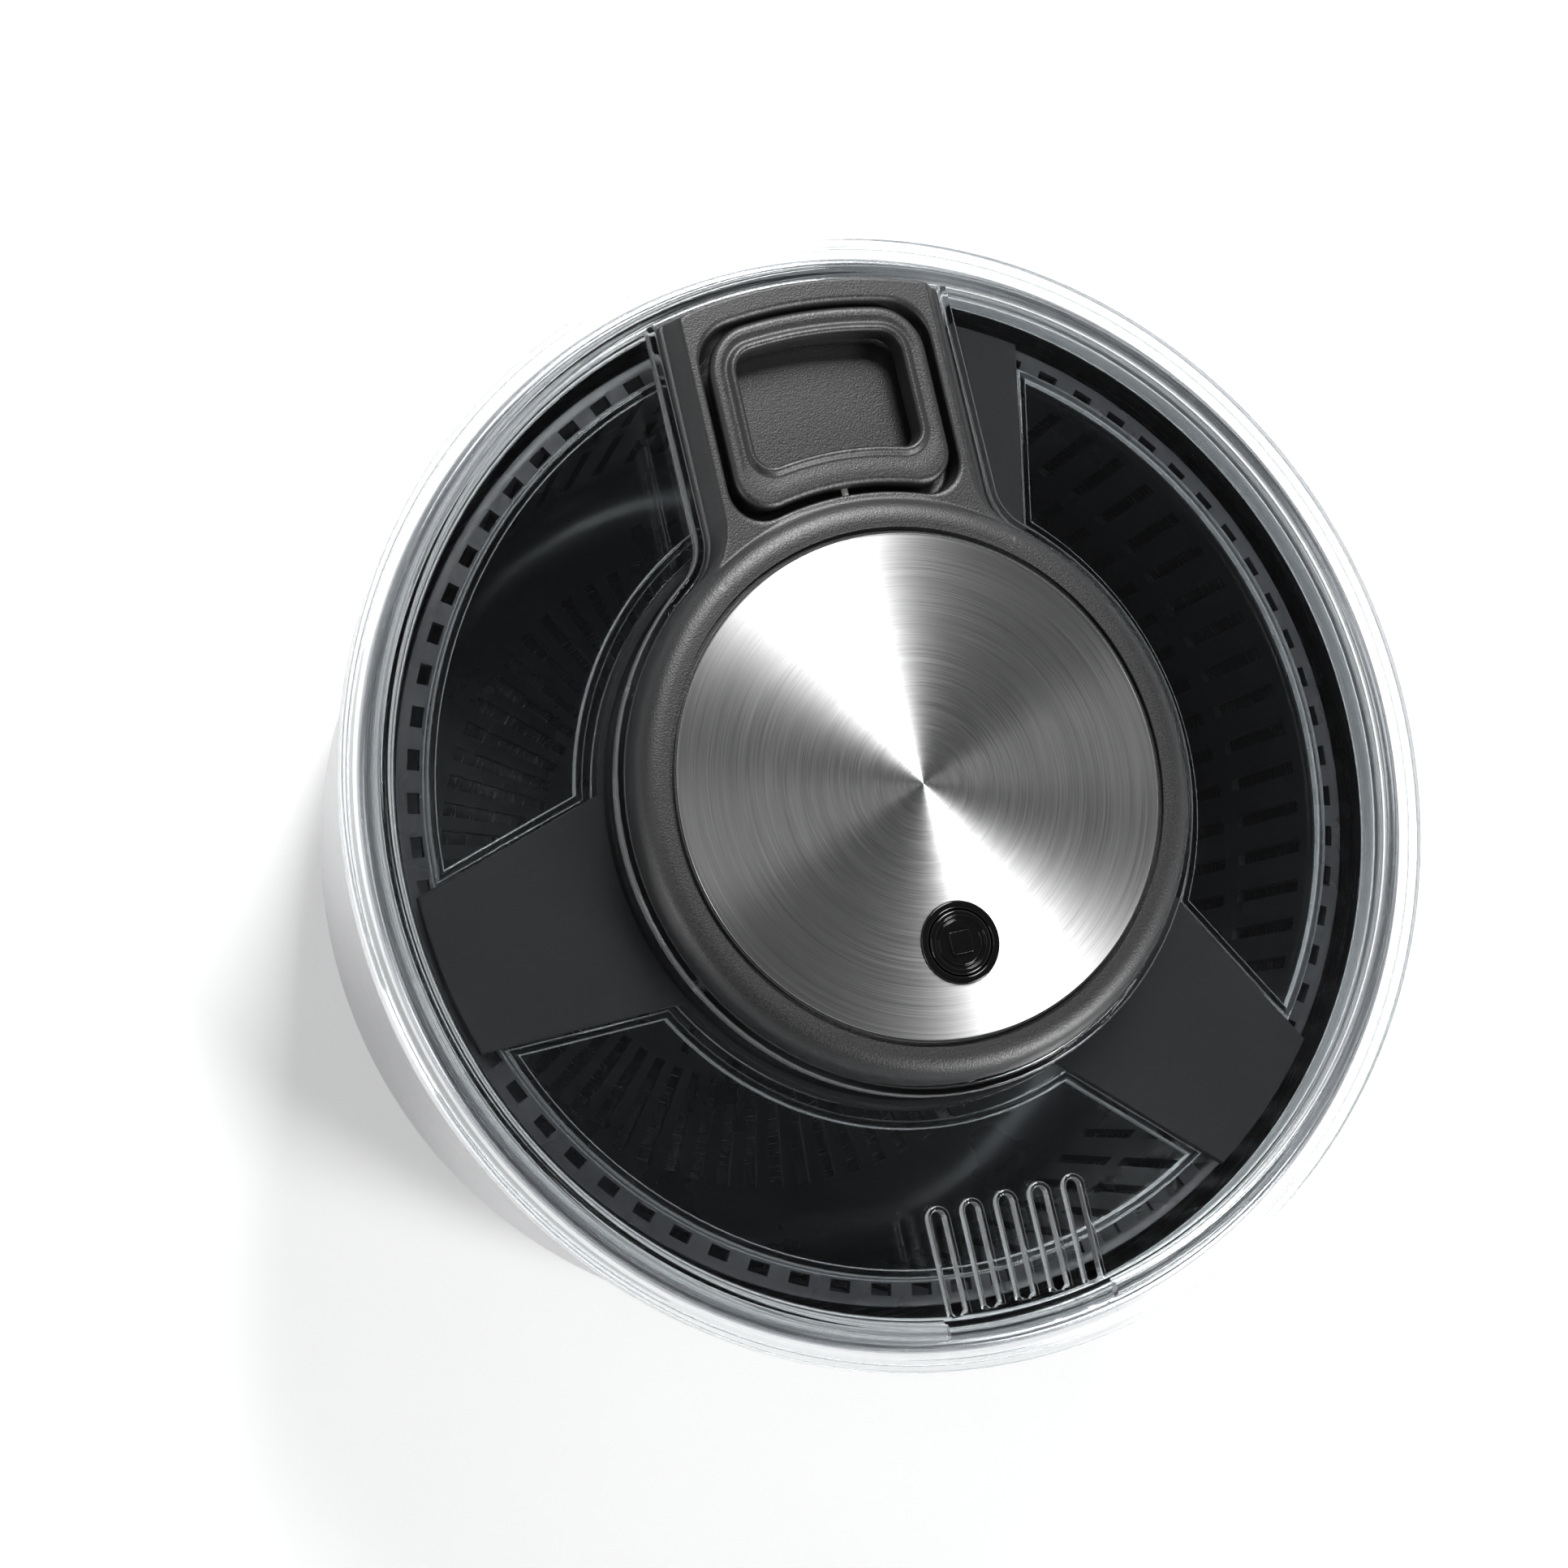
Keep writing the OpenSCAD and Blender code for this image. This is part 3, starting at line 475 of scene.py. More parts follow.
def round_copies_tree():
    """Geometry nodes that repeat a piece round the spin axis and weld copies where they meet."""
    tree, given = start_tree("copies_round_the_axis", Copies="Int", First_angle="Float",
        Weld_distance="Float")
    points = add_node(tree, "GeometryNodePoints", [("Count", given["Copies"])])
    number = add_node(tree, "GeometryNodeInputIndex").outputs["Index"]
    pitch = calc(tree, "DIVIDE", math.tau, given["Copies"])
    angle = calc(tree, "MULTIPLY_ADD", number, pitch, given["First angle"])
    copies = add_node(tree, "GeometryNodeInstanceOnPoints", [("Points", points.outputs[0]),
        ("Instance", given["Geometry"]), ("Rotation", turned_about_z(tree, angle))])
    return end_tree(tree, copies.outputs["Instances"], given["Finish"], given["Weld distance"])


ROUND_COPIES = round_copies_tree()


def keep_result(piece):
    """Makes what a piece's modifiers give its own mesh, and takes them off."""
    settled = piece.evaluated_get(bpy.context.evaluated_depsgraph_get())
    mesh = bpy.data.meshes.new_from_object(settled)
    piece.modifiers.clear()
    piece.data = mesh
    return piece


def grow(piece, tree, **values):
    """Runs a geometry node tree on a piece and keeps the result as the piece's own mesh."""
    modifier = piece.modifiers.new("grow", "NODES")
    modifier.node_group = tree
    for item in tree.interface.items_tree:
        key = item.name.replace(" ", "_")
        if item.in_out == "INPUT" and key in values:
            modifier[item.identifier] = values[key]
    return keep_result(piece)


def round_copies(name, made, copies, first, finish, weld=0.02):
    """A bmesh repeated round the spin axis; first is the first copy's angle in degrees."""
    return grow(piece_from(name, made), ROUND_COPIES, Copies=copies,
        First_angle=math.radians(first), Weld_distance=weld * MM, Finish=finish)


basket_low, basket_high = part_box("basket")
basket_r = basket_high.x / MM
basket_top = basket_high.z / MM
basket_floor = basket_low.z / MM
basket_wall = 2
bush_r = 6.06
boss_r = 10
ledge_in_r = basket_r - 7
lug_r = basket_r - 4
basket_outside = cup_side(basket_r, basket_top - 0.8, basket_floor, 7, 16, boss_r + 1)
basket_inside = cup_side(basket_r - 2.02, basket_top - 2, basket_floor + basket_wall, 7, 14,
    boss_r + 1)
slot_heights = [basket_floor + h for h in (24, 25, 52, 53, 57, 58, 85, 86)]


def at_height(side, z):
    """Radius at which the straight upper wall of a side passes height z."""
    (low_r, low_z), (high_r, high_z) = side[-2:]
    return low_r + (high_r - low_r) * (z - low_z) / (high_z - low_z)


boss_stations = [(bush_r, basket_floor + 0.4, bush_r, basket_floor + 15.6),
    (bush_r + 0.4, basket_floor, bush_r + 0.4, basket_floor + 16),
    (boss_r - 1, basket_floor, boss_r - 0.6, basket_floor + 16),
    (boss_r - 0.5, basket_floor, boss_r, basket_floor + 15.4),
    (boss_r, basket_floor, boss_r, basket_floor + basket_wall + 0.6)]
floor_stations = [(r, basket_floor, r, basket_floor + basket_wall)
    for r in (boss_r + 1, 30, 54, 58, 84)]
bend_stations = [(*o, *i) for o, i in zip(basket_outside[1:-1], basket_inside[1:-1])]
wall_stations = [(at_height(basket_outside, z), z, at_height(basket_inside, z), z)
    for z in slot_heights + [basket_top - 6]]
ledge_under = basket_top - 2
rim_stations = [(basket_r, basket_top - 0.8, basket_r - 2.1, ledge_under),
    (basket_r - 0.2, basket_top - 0.25, basket_r - 2.2, ledge_under),
    (basket_r - 0.8, basket_top, basket_r - 2.3, ledge_under),
    (lug_r + 1.4, basket_top, lug_r + 1.4, ledge_under),
    (lug_r - 1.4, basket_top, lug_r - 1.4, ledge_under),
    (ledge_in_r + 0.4, basket_top, ledge_in_r + 0.4, ledge_under),
    (ledge_in_r, basket_top - 0.4, ledge_in_r, ledge_under + 0.4)]
stations = boss_stations + floor_stations + bend_stations + wall_stations + rim_stations
floor_first = len(boss_stations)
wall_first = floor_first + len(floor_stations) + len(bend_stations)
rim_first = wall_first + len(wall_stations)
sector_angles = [5 * k + a for k in (-1, 0, 1) for a in (-2.5, -1.22, -0.8, 0.8, 1.22)] + [7.5]


def basket_hole(i, j):
    """The cells that are holes in a 15 degree sector of three slots."""
    third, column = divmod(j, 5)
    wide = column in (1, 2, 3)
    if i == floor_first + 1:
        return wide and third == 1
    if i == floor_first + 3:
        return wide
    if i in (wall_first + 1, wall_first + 5):
        return column == 2
    return wide and i == rim_first + 3


basket_piece = round_copies("basket_shell", sector(stations, sector_angles, basket_hole), 24, 10,
    basket_black)
settle(basket_piece, "basket", "basket_plastic", basket_black, "basket")

# --- Cover of the basket ------------------------------------------------------------------------
# The black carrier is a dish with three flat spokes, and each spoke ends in a lug. The clear plate
# below it has ribs that frame three windows, and screws hold the two together from below.


def quad_outline(half_w, in_r, out_r, in_c, out_c, steps=8, long_steps=16):
    """Outline between two circles round the axis, half_w to each side of +Y, corners rounded."""
    in_y = math.sqrt((in_r + in_c) ** 2 - (half_w - in_c) ** 2)
    out_y = math.sqrt((out_r - out_c) ** 2 - (half_w - out_c) ** 2)
    in_a = math.degrees(math.atan2(in_y, half_w - in_c))
    out_a = math.degrees(math.atan2(out_y, half_w - out_c))
    return (arc_points((half_w - in_c, in_y), in_c, in_a + 180, 360, steps)
        + arc_points((half_w - out_c, out_y), out_c, 0, out_a, steps)
        + arc_points((0, 0), out_r, out_a, 180 - out_a, long_steps)[1:-1]
        + arc_points((out_c - half_w, out_y), out_c, 180 - out_a, 180, steps)
        + arc_points((in_c - half_w, in_y), in_c, 180, 360 - in_a, steps)
        + arc_points((0, 0), in_r, 180 - in_a, in_a, long_steps)[1:-1])


def lofted(loops, closed=False):
    """Joins loops of (x, y, z) points in millimetres into one skin. An open skin gets a flat face
    at each end; a closed one runs back to its first loop."""
    made = bmesh.new()
    rings = [[made.verts.new((x * MM, y * MM, z * MM)) for x, y, z in loop] for loop in loops]
    count = len(rings[0])
    pairs = list(zip(rings, rings[1:]))
    if closed:
        pairs.append((rings[-1], rings[0]))
    for low, high in pairs:
        for i in range(count):
            j = (i + 1) % count
            made.faces.new((low[i], low[j], high[j], high[i]))
    if not closed:
        made.faces.new(rings[0][::-1])
        made.faces.new(rings[-1])
    return outward(made)


def at_z(outline, z):
    """A flat outline as a loop at height z."""
    return [(x, y, z) for x, y in outline]


def edge_steps(radius, steps=4):
    """(inset, drop) pairs of a rounded edge, from its top to its side."""
    return [(radius * (1 - math.sin(math.radians(90 * k / steps))),
        radius * (1 - math.cos(math.radians(90 * k / steps)))) for k in range(steps + 1)]


def slab(outline, low, high, edge):
    """A flat piece with rounded edges. outline(inset) gives its outline, drawn in by inset."""
    steps = edge_steps(edge)
    loops = [at_z(outline(edge + 0.15), low)]
    loops += [at_z(outline(inset), low + drop) for inset, drop in steps]
    loops += [at_z(outline(inset), high - drop) for inset, drop in steps[::-1]]
    loops += [at_z(outline(edge + 0.15), high)]
    return lofted(loops)


def carve(piece, cutter, operation="DIFFERENCE"):
    """Cuts a piece by another, or joins the two, and keeps the result as the piece's own mesh."""
    modifier = piece.modifiers.new("carve", "BOOLEAN")
    modifier.operation = operation
    modifier.solver = "EXACT"
    modifier.object = cutter
    keep_result(piece)
    bpy.data.objects.remove(cutter)
    nearest = 0.002 * MM
    cleaned = bmesh.new()
    cleaned.from_mesh(piece.data)
    bmesh.ops.remove_doubles(cleaned, verts=cleaned.verts, dist=nearest)
    bmesh.ops.dissolve_degenerate(cleaned, edges=cleaned.edges, dist=nearest)
    cleaned.to_mesh(piece.data)
    cleaned.free()


spoke_root_r = 64.3
spoke_root_half = 25.8
spoke_end_half = 17.9
spoke_slope = (spoke_root_half - spoke_end_half) / (basket_r + 2 - spoke_root_r)
spoke_first = 70


def spoke_outline(inset):
    """A spoke's outline towards +X, which narrows outwards; its end follows the basket's rim."""
    half_in = spoke_root_half - inset
    reach = basket_r - 1 - inset
    corner = math.degrees(math.asin((spoke_end_half - inset + spoke_slope * 5) / reach))
    end = arc_points((0, 0), reach, -corner, corner, 12)
    root = spoke_root_r - 6
    return ([(root, -half_in), (spoke_root_r, -half_in)] + end
        + [(spoke_root_r, half_in), (root, half_in)])


carrier_black = moulded("carrier_black", (0.007, 0.007, 0.0075), (0.011, 0.011, 0.0115), 0.7, 0.05,
    1200.0, 0.000008, 0.12)
spoke_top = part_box("spoke_carrier")[1].z / MM
cover_low, cover_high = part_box("cover_plate")
plate_under = cover_low.z / MM
plate_top = plate_under + 2
dish_r = 72
dish_floor = plate_under - 2.1
shaft_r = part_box("drive_shaft")[1].x / MM
shaft_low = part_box("drive_shaft")[0].z / MM
dish_section = rounded([(shaft_r, shaft_low, 0), (shaft_r + 5, shaft_low, 0.6),
    (shaft_r + 5, dish_floor - 2, 0.8), (dish_r, dish_floor - 2, 1.2), (dish_r, spoke_top, 0.5),
    (dish_r - 2, spoke_top, 0.5), (dish_r - 2, dish_floor, 1.0), (shaft_r, dish_floor, 0)])
carrier = piece_from("basket_carrier", turned(dish_section))
spokes = round_copies("spokes", slab(spoke_outline, plate_top, spoke_top, 0.4), 3, spoke_first,
    carrier_black)
spoke_trim = piece_from("spoke_trim", turned([(0, dish_floor - 9), (dish_r - 1, dish_floor - 9),
    (dish_r - 1, spoke_top + 5), (0, spoke_top + 5)]))
carve(spokes, spoke_trim)
carve(carrier, spokes, "UNION")
settle(carrier, "cover", "smooth_plastic", carrier_black, "spoke_carrier")


def lug_outline(inset):
    """A lug's outline, a small block that sits in a slot of the basket's rim."""
    return [(lug_r - 1 + inset, inset - 1.8), (lug_r + 1 - inset, inset - 1.8),
        (lug_r + 1 - inset, 1.8 - inset), (lug_r - 1 + inset, 1.8 - inset)]


lugs = round_copies("drive_lugs", slab(lug_outline, basket_top - 2.4, plate_top + 0.5, 0.3), 3,
    spoke_first, carrier_black)
settle(lugs, "cover", "smooth_plastic", carrier_black)


def facing_up(tree):
    """How far a face points up: 1 for a flat top, 0 for a wall."""
    facing = add_node(tree, "ShaderNodeNewGeometry").outputs["True Normal"]
    return add_node(tree, "ShaderNodeSeparateXYZ", [("Vector", facing)]).outputs["Z"]


def clear_plastic(name, colour, rough):
    """Clear moulded plastic. Its steep faces let less light through and show partly white, a
    painted highlight standing in for the bright lines along clear moulded edges. Lamps shine
    through it, as they do through a thin clear wall."""
    finish, tree, shader = new_finish(name, Transmission_Weight=1.0, IOR=1.49, Roughness=rough)
    shader.inputs["Base Color"].default_value = (*colour, 1)
    bump(tree, shader, noise(tree, place_on(tree), 60.0, 1.0), 0.000002)
    # Painted highlight: steep faces such as edges, walls and ribs get less transmission, so part of
    # them shows as white diffuse.
    flat = calc(tree, "ABSOLUTE", facing_up(tree))
    tree.links.new(ramp(tree, flat, 0.84, 1.0, 0.6, 0.98), shader.inputs["Transmission Weight"])
    ray = add_node(tree, "ShaderNodeLightPath").outputs["Is Shadow Ray"]
    through = add_node(tree, "ShaderNodeBsdfTransparent", [("Color", (*colour, 1))]).outputs["BSDF"]
    mixed = add_node(tree, "ShaderNodeMixShader",
        [(0, ray), (1, shader.outputs["BSDF"]), (2, through)]).outputs["Shader"]
    tree.links.new(mixed, tree.nodes["Material Output"].inputs["Surface"])
    return finish


clear_lid = clear_plastic("clear_lid", (0.93, 0.95, 0.96), 0.0)
plate_out_r = cover_high.x / MM
plate_in_r = dish_r + 0.3
window_in_r = dish_r + 3
rib = 2
plate = piece_from("window_plate", turned(rounded([(plate_in_r, plate_under, 0.3),
    (plate_out_r, plate_under, 0.5), (plate_out_r, plate_top, 0.5), (plate_in_r, plate_top, 0.3)])))


def window_outline(inset):
    """A window's rib outline between two spokes, centred on +X."""
    half_in = spoke_root_half + 0.5
    spoke_turn = math.radians(60)
    in_r = window_in_r + inset
    out_r = plate_out_r - 0.6 - inset
    points = []
    for side in (1, -1):
        row = []
        for r in (in_r, out_r):
            low, high = 0.0, spoke_turn
            for _ in range(40):
                a = (low + high) / 2
                along = r * math.cos(spoke_turn - a)
                across = r * math.sin(spoke_turn - a)
                gap = across - (half_in - spoke_slope * (along - spoke_root_r)) - inset
                if gap > 0:
                    low = a
                else:
                    high = a
            row.append(side * math.degrees(low))
        points.append(row)
    (a_in, a_out), (b_in, b_out) = points
    return arc_points((0, 0), out_r, b_out, a_out, 40) + arc_points((0, 0), in_r, a_in, b_in, 28)


def bar_round(loop_at, width, low, high, edge, steps=4):
    """A bar with a rounded top that runs round a closed loop. loop_at(grow, z) gives the loop."""
    sides = edge_steps(edge, steps)
    loops = [loop_at(0, low)]
    loops += [loop_at(inset, high - drop) for inset, drop in sides[::-1]]
    loops += [loop_at(width - inset, high - drop) for inset, drop in sides]
    loops += [loop_at(width, low)]
    return lofted(loops, closed=True)


rib_bar = bar_round(lambda grow, z: at_z(window_outline(grow), z), rib, plate_top - 0.4,
    plate_top + rib, 0.6)
ribs = round_copies("window_ribs", rib_bar, 3, spoke_first + 60, clear_lid)
carve(plate, ribs, "UNION")
settle(plate, "cover", "clear_plastic", clear_lid, "cover_plate")


def screw(radius, head_r, head_h, length, place):
    """A pan-head screw with a hexagon socket, driven upwards, its head's seat at place."""
    x, y, z = place
    made = bmesh.new()
    steps = 24
    rows = [(1.1, -0.5), (1.1, -head_h), (head_r - 0.5, -head_h), (head_r, 0.3 - head_h),
        (head_r, 0), (radius, 0), (radius, length - 0.4), (radius - 0.4, length)]
    rings = []
    for r, h in rows:
        ring = []
        for i in range(steps):
            a = math.tau * i / steps
            reach = r
            if h < -0.4 and r < 1.2:
                reach = r / math.cos((a % (math.tau / 6)) - math.tau / 12)
            ring.append(made.verts.new(((x + reach * math.cos(a)) * MM,
                (y + reach * math.sin(a)) * MM, (z + h) * MM)))
        rings.append(ring)
    for low, high in zip(rings, rings[1:]):
        for i in range(steps):
            j = (i + 1) % steps
            made.faces.new((low[i], low[j], high[j], high[i]))
    made.faces.new(rings[0])
    made.faces.new(rings[-1])
    return outward(made)


for number, at_r in enumerate((window_in_r + 8, plate_out_r - 8)):
    made = screw(1.1, 2.3, 1.3, 3.6, (at_r, 0, plate_under))
    settle(round_copies(f"cover_screws_{number + 1}", made, 3, spoke_first, plated_steel), "cover",
        "screw_steel", plated_steel, "cover_screws")

# --- Drive --------------------------------------------------------------------------------------
# The ratchet ring is keyed to the shaft; two pawls on the drum push its teeth. The flat spring
# inside the drum winds the cord back, and the rubber pad under the plunger brakes the dish.

acetal = moulded("acetal", (0.5, 0.2, 0.05), (0.6, 0.26, 0.08), 0.38, 0.06, 1100.0, 0.00001)
brake_rubber = moulded("brake_rubber", (0.16, 0.03, 0.025), (0.22, 0.045, 0.035), 0.65, 0.05,
    1300.0, 0.00003)
bronze = polished("bronze", (0.42, 0.26, 0.1), (0.6, 0.4, 0.18), 0.36)
tray_black = moulded("tray_black", (0.018, 0.018, 0.019), (0.028, 0.028, 0.03), 0.4, 0.06, 1200.0,
    0.00001)
dress(acetal, "ratchet_ring", "pawl_1", "pawl_2")
dress(brake_rubber, "brake_pad")
dress(bronze, "bearing_bush", "cord_ferrule")
dress(tray_black, "housing_bottom", "brake_plunger")


def coil_tree():
    """Geometry nodes that wind a round wire or a flat strip into a spiral or a helix."""
    tree, given = start_tree("wound_wire", Turns="Float", Start_radius="Float", End_radius="Float",
        Rise="Float", Thickness="Float", Width="Float", Steps_a_turn="Int", Flat="Bool",
        Place="Vector", Turned_by="Float")
    path = add_node(tree, "GeometryNodeCurveSpiral", [("Resolution", given["Steps a turn"]),
        ("Rotations", given["Turns"]), ("Start Radius", given["Start radius"]),
        ("End Radius", given["End radius"]), ("Height", given["Rise"])])
    moved = add_node(tree, "GeometryNodeTransform", [("Geometry", path.outputs["Curve"]),
        ("Translation", given["Place"]), ("Rotation", turned_about_z(tree, given["Turned by"]))])
    wire = add_node(tree, "GeometryNodeCurvePrimitiveCircle",
        [("Resolution", 10), ("Radius", calc(tree, "MULTIPLY", given["Thickness"], 0.5))])
    strip = add_node(tree, "GeometryNodeCurvePrimitiveQuadrilateral",
        [("Width", given["Thickness"]), ("Height", given["Width"])])
    profile = add_node(tree, "GeometryNodeSwitch", [("Switch", given["Flat"]),
        ("False", wire.outputs["Curve"]), ("True", strip.outputs["Curve"])], input_type="GEOMETRY")
    upright = add_node(tree, "GeometryNodeSetCurveNormal", [("Curve", moved.outputs["Geometry"])],
        mode="Z_UP")
    tube = add_node(tree, "GeometryNodeCurveToMesh", [("Curve", upright.outputs["Curve"]),
        ("Profile Curve", profile.outputs["Output"]), ("Fill Caps", True)])
    return end_tree(tree, tube.outputs["Mesh"], given["Finish"])


WOUND = coil_tree()


def wound(name, turns, radii, place, rise, thick, finish, width=0.0, steps=24, turned_by=0.0):
    """A wound piece, its sizes in millimetres: a flat strip where it has a width, else a wire."""
    return grow(piece_from(name, bmesh.new()), WOUND, Turns=float(turns),
        Start_radius=radii[0] * MM, End_radius=radii[1] * MM, Rise=rise * MM, Thickness=thick * MM,
        Width=width * MM, Steps_a_turn=steps, Flat=width > 0,
        Place=tuple(v * MM for v in place), Turned_by=math.radians(turned_by), Finish=finish)


spring_steel = polished("spring_steel", (0.3, 0.32, 0.36), (0.48, 0.5, 0.55), 0.3, 500.0)
strip_low, strip_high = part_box("return_spring")
strip_w = (strip_high.z - strip_low.z) / MM
strip_mid = (strip_high.z + strip_low.z) / 2 / MM
spring = wound("return_strip", 7, (5.35, 15.9), (0, 0, strip_mid), 0, 0.4, spring_steel, strip_w,
    48)
settle(spring, "lid", "spring_steel", spring_steel, "return_spring", sharp=50)
coil_low, coil_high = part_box("button_spring")
button_y = (coil_low.y + coil_high.y) / 2 / MM
coil = wound("button_coil", 6, (5.2, 5.2), (0, button_y, coil_low.z / MM + 0.4),
    (coil_high.z - coil_low.z) / MM - 0.8, 0.7, spring_steel)
settle(coil, "lid", "spring_steel", spring_steel, "button_spring", sharp=60)
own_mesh(coil)

# --- Cord ---------------------------------------------------------------------------------------
# A braided cord, knotted into the drum and wound round it 3.7 times. It leaves through the nylon
# guide in the hub's wall and ends in the ferrule that the handle's inner bar holds.


def braid(name, dark, light):
    """Braided fibre: two crossing sets of fine strands."""
    finish, tree, shader = new_finish(name, Roughness=0.7)
    waves = []
    for turn in (35, -35):
        tilted = add_node(tree, "ShaderNodeMapping", [("Vector", place_on(tree))])
        tilted.inputs["Rotation"].default_value = (math.radians(turn), 0, math.radians(turn))
        waves.append(add_node(tree, "ShaderNodeTexWave", [("Vector", tilted.outputs["Vector"]),
            ("Scale", 700.0), ("Distortion", 0.6)]).outputs["Fac"])
    strands = calc(tree, "MAXIMUM", *waves)
    tree.links.new(tint(tree, strands, dark, light), shader.inputs["Base Color"])
    bump(tree, shader, strands, 0.00012)
    return finish


cord_braid = braid("cord_braid", (0.3, 0.3, 0.29), (0.66, 0.65, 0.62))
cord_r = 0.8
drum_r = 20
cord_turns = 3.7
cord_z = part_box("cord_guide")[0].z / MM + 3.2
cord_drop = 6.5
cord_start = 90 - math.degrees(math.acos(drum_r / (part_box("cord_guide")[0].y / MM - 0.5)))
turns = wound("cord_turns", cord_turns, (drum_r, drum_r), (0, 0, cord_z), cord_drop, 2 * cord_r,
    cord_braid, steps=36, turned_by=cord_start)
for vertex in turns.data.vertices:
    vertex.co.z = 2 * cord_z * MM - vertex.co.z
turns.data.flip_normals()
settle(turns, "drum", "cord", cord_braid, "pull_cord", sharp=60)


def circle(centre, way, radius, sides):
    """A circle of points round a centre, facing a way."""
    turn = Vector(way).to_track_quat("Z", "Y")
    return [tuple(Vector(centre) + turn @ Vector((radius * math.cos(math.tau * k / sides),
        radius * math.sin(math.tau * k / sides), 0))) for k in range(sides)]


def tube(path, radius, sides=12):
    """A round bar along a path of points in millimetres."""
    ends = [(path[max(i - 1, 0)], path[min(i + 1, len(path) - 1)]) for i in range(len(path))]
    return lofted([circle(here, Vector(ahead) - Vector(back), radius, sides)
        for here, (back, ahead) in zip(path, ends)])


start_way = math.radians(cord_start)
drum_point = (drum_r * math.cos(start_way), drum_r * math.sin(start_way))
guide_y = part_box("cord_guide")[1].y / MM
ferrule_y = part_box("cord_ferrule")[0].y / MM
lead_path = [(drum_point[0] * (1 - t), drum_point[1] + (guide_y - 7 - drum_point[1]) * t, cord_z)
    for t in (0, 0.25, 0.5, 0.75, 1)] + [(0, guide_y - 3, cord_z), (0, guide_y, cord_z)]
lead = piece_from("cord_lead", tube(lead_path, cord_r))
settle(lead, "lid", "cord", cord_braid, "pull_cord", sharp=60)
free_path = [(0, guide_y - 0.4 + (ferrule_y + 0.8 - guide_y) * k / 24, cord_z) for k in range(25)]
free = piece_from("cord_free", tube(free_path, cord_r - 0.02))
settle(free, None, "cord", cord_braid, "pull_cord", sharp=60)
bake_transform(free)

# --- Lid ----------------------------------------------------------------------------------------
# Clear styrene-acrylonitrile, moulded in one piece: flange and lip over the bowl's bead, a skirt
# inside it, a round ridge with a gap where water pours out, a collar round the housing and slots.

lid_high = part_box("lid")[1]
lid_r = lid_high.x / MM
lid_top = lid_high.z / MM - 3.0
ridge_top = lid_top + 2.7
lid_under = lid_top - 2
lid_out = rounded([(62.2, lid_under, 0.3), (120.4, lid_under, 0.9), (120.4, lid_under - 8, 0.6),
    (122.4, lid_under - 8, 0.6), (122.4, lid_under, 1.2), (130.2, lid_under, 0.5),
    (130.2, lid_top - 4, 0.5), (lid_r, lid_top - 4, 0.5), (lid_r, lid_top + 0.6, 0.9),
    (129.2, lid_top + 0.6, 0.5), (128.4, lid_top, 0.5), (124.5, lid_top, 0.9),
    (124.5, ridge_top, 1.1), (121.3, ridge_top, 1.1), (121.3, lid_top, 1.0),
    (62.2, lid_top, 0.3)], steps=6)
lid_piece = piece_from("lid_shell", turned(lid_out, 256))


def key_outline(r, half_w, end_r, f, hub_steps=72):
    """Outline of a round hub with an arm towards +Y, the waist between them rounded by f."""
    fy = math.sqrt((r + f) ** 2 - (half_w + f) ** 2)
    fa = math.degrees(math.atan2(fy, half_w + f))
    end_a = math.degrees(math.acos(half_w / end_r))
    return (arc_points((half_w + f, fy), f, 180, 180 + fa, 12)
        + arc_points((0, 0), r, fa, -180 - fa, hub_steps)[1:-1]
        + arc_points((-half_w - f, fy), f, -fa, 0, 12)
        + arc_points((0, 0), end_r, 180 - end_a, end_a, 16))


collar_in = (68.3, 35.7, 121.7, 14.2)
collar_t = 2.2
collar_h = 3


def collar_loop(grow, z):
    """The collar's outline grown by grow, at height z but lower where it runs into the ridge."""
    r, half, end, waist = collar_in
    loop = key_outline(r + grow, half + grow, end + grow, waist - grow)
    return [(x, y, z - 0.9 * (z > lid_top) * min(1, max(0, (math.hypot(x, y) - 119) / 2)))
        for x, y in loop]


collar = bar_round(collar_loop, collar_t, lid_top - 0.5, lid_top + collar_h, 0.7, 5)
carve(lid_piece, piece_from("collar", collar), "UNION")

drain_pitch = 8.5
drain_w = 3.6
drain_ends = (-94.5, -118.5)
drain_rim = 1.1


def drain_outline(x, grow):
    """Outline of the drain slot at x, its rounded end towards the axis."""
    half = drain_w / 2 + grow
    bend = arc_points((x, drain_ends[0] - drain_w / 2), half, 0, 180, 12)
    far = drain_ends[1] - grow
    end = [(-half, far + 1), (1 - half, far), (half - 1, far), (half, far + 1)]
    return bend + [(x + across, y) for across, y in end]


for number in range(5):
    x = (number - 2) * drain_pitch
    hole = lofted([at_z(drain_outline(x, 0.3), z) for z in (lid_under - 1, lid_top + 2)])
    carve(lid_piece, piece_from("drain_hole", hole))
    rim = bar_round(lambda grow, z: at_z(drain_outline(x, grow), z), drain_rim, lid_under + 0.4,
        lid_top + 1, 0.4)
    carve(lid_piece, piece_from("drain_rim", rim), "UNION")


def box_cutter(name, low, high):
    """A plain box between two corners in millimetres."""
    made = bmesh.new()
    bmesh.ops.create_cube(made, size=1)
    for vertex in made.verts:
        shares = [share + 0.5 for share in vertex.co]
        vertex.co = [(a + (b - a) * t) * MM for a, b, t in zip(low, high, shares)]
    return piece_from(name, made)


spout_half = 21
carve(lid_piece, box_cutter("spout_cut", (-spout_half, -126.4, lid_top - 0.15),
    (spout_half, -118.2, ridge_top + 1)))
well = (28.8, 69, 115, 8, 10.5)
tub_wall = 1.2
well_top = 139.0
well_floor = 130.6
pull_slope = 1 / math.tan(math.radians(60))
tub_out_r = well[2] - (well_top - lid_top) * pull_slope + tub_wall + 0.4


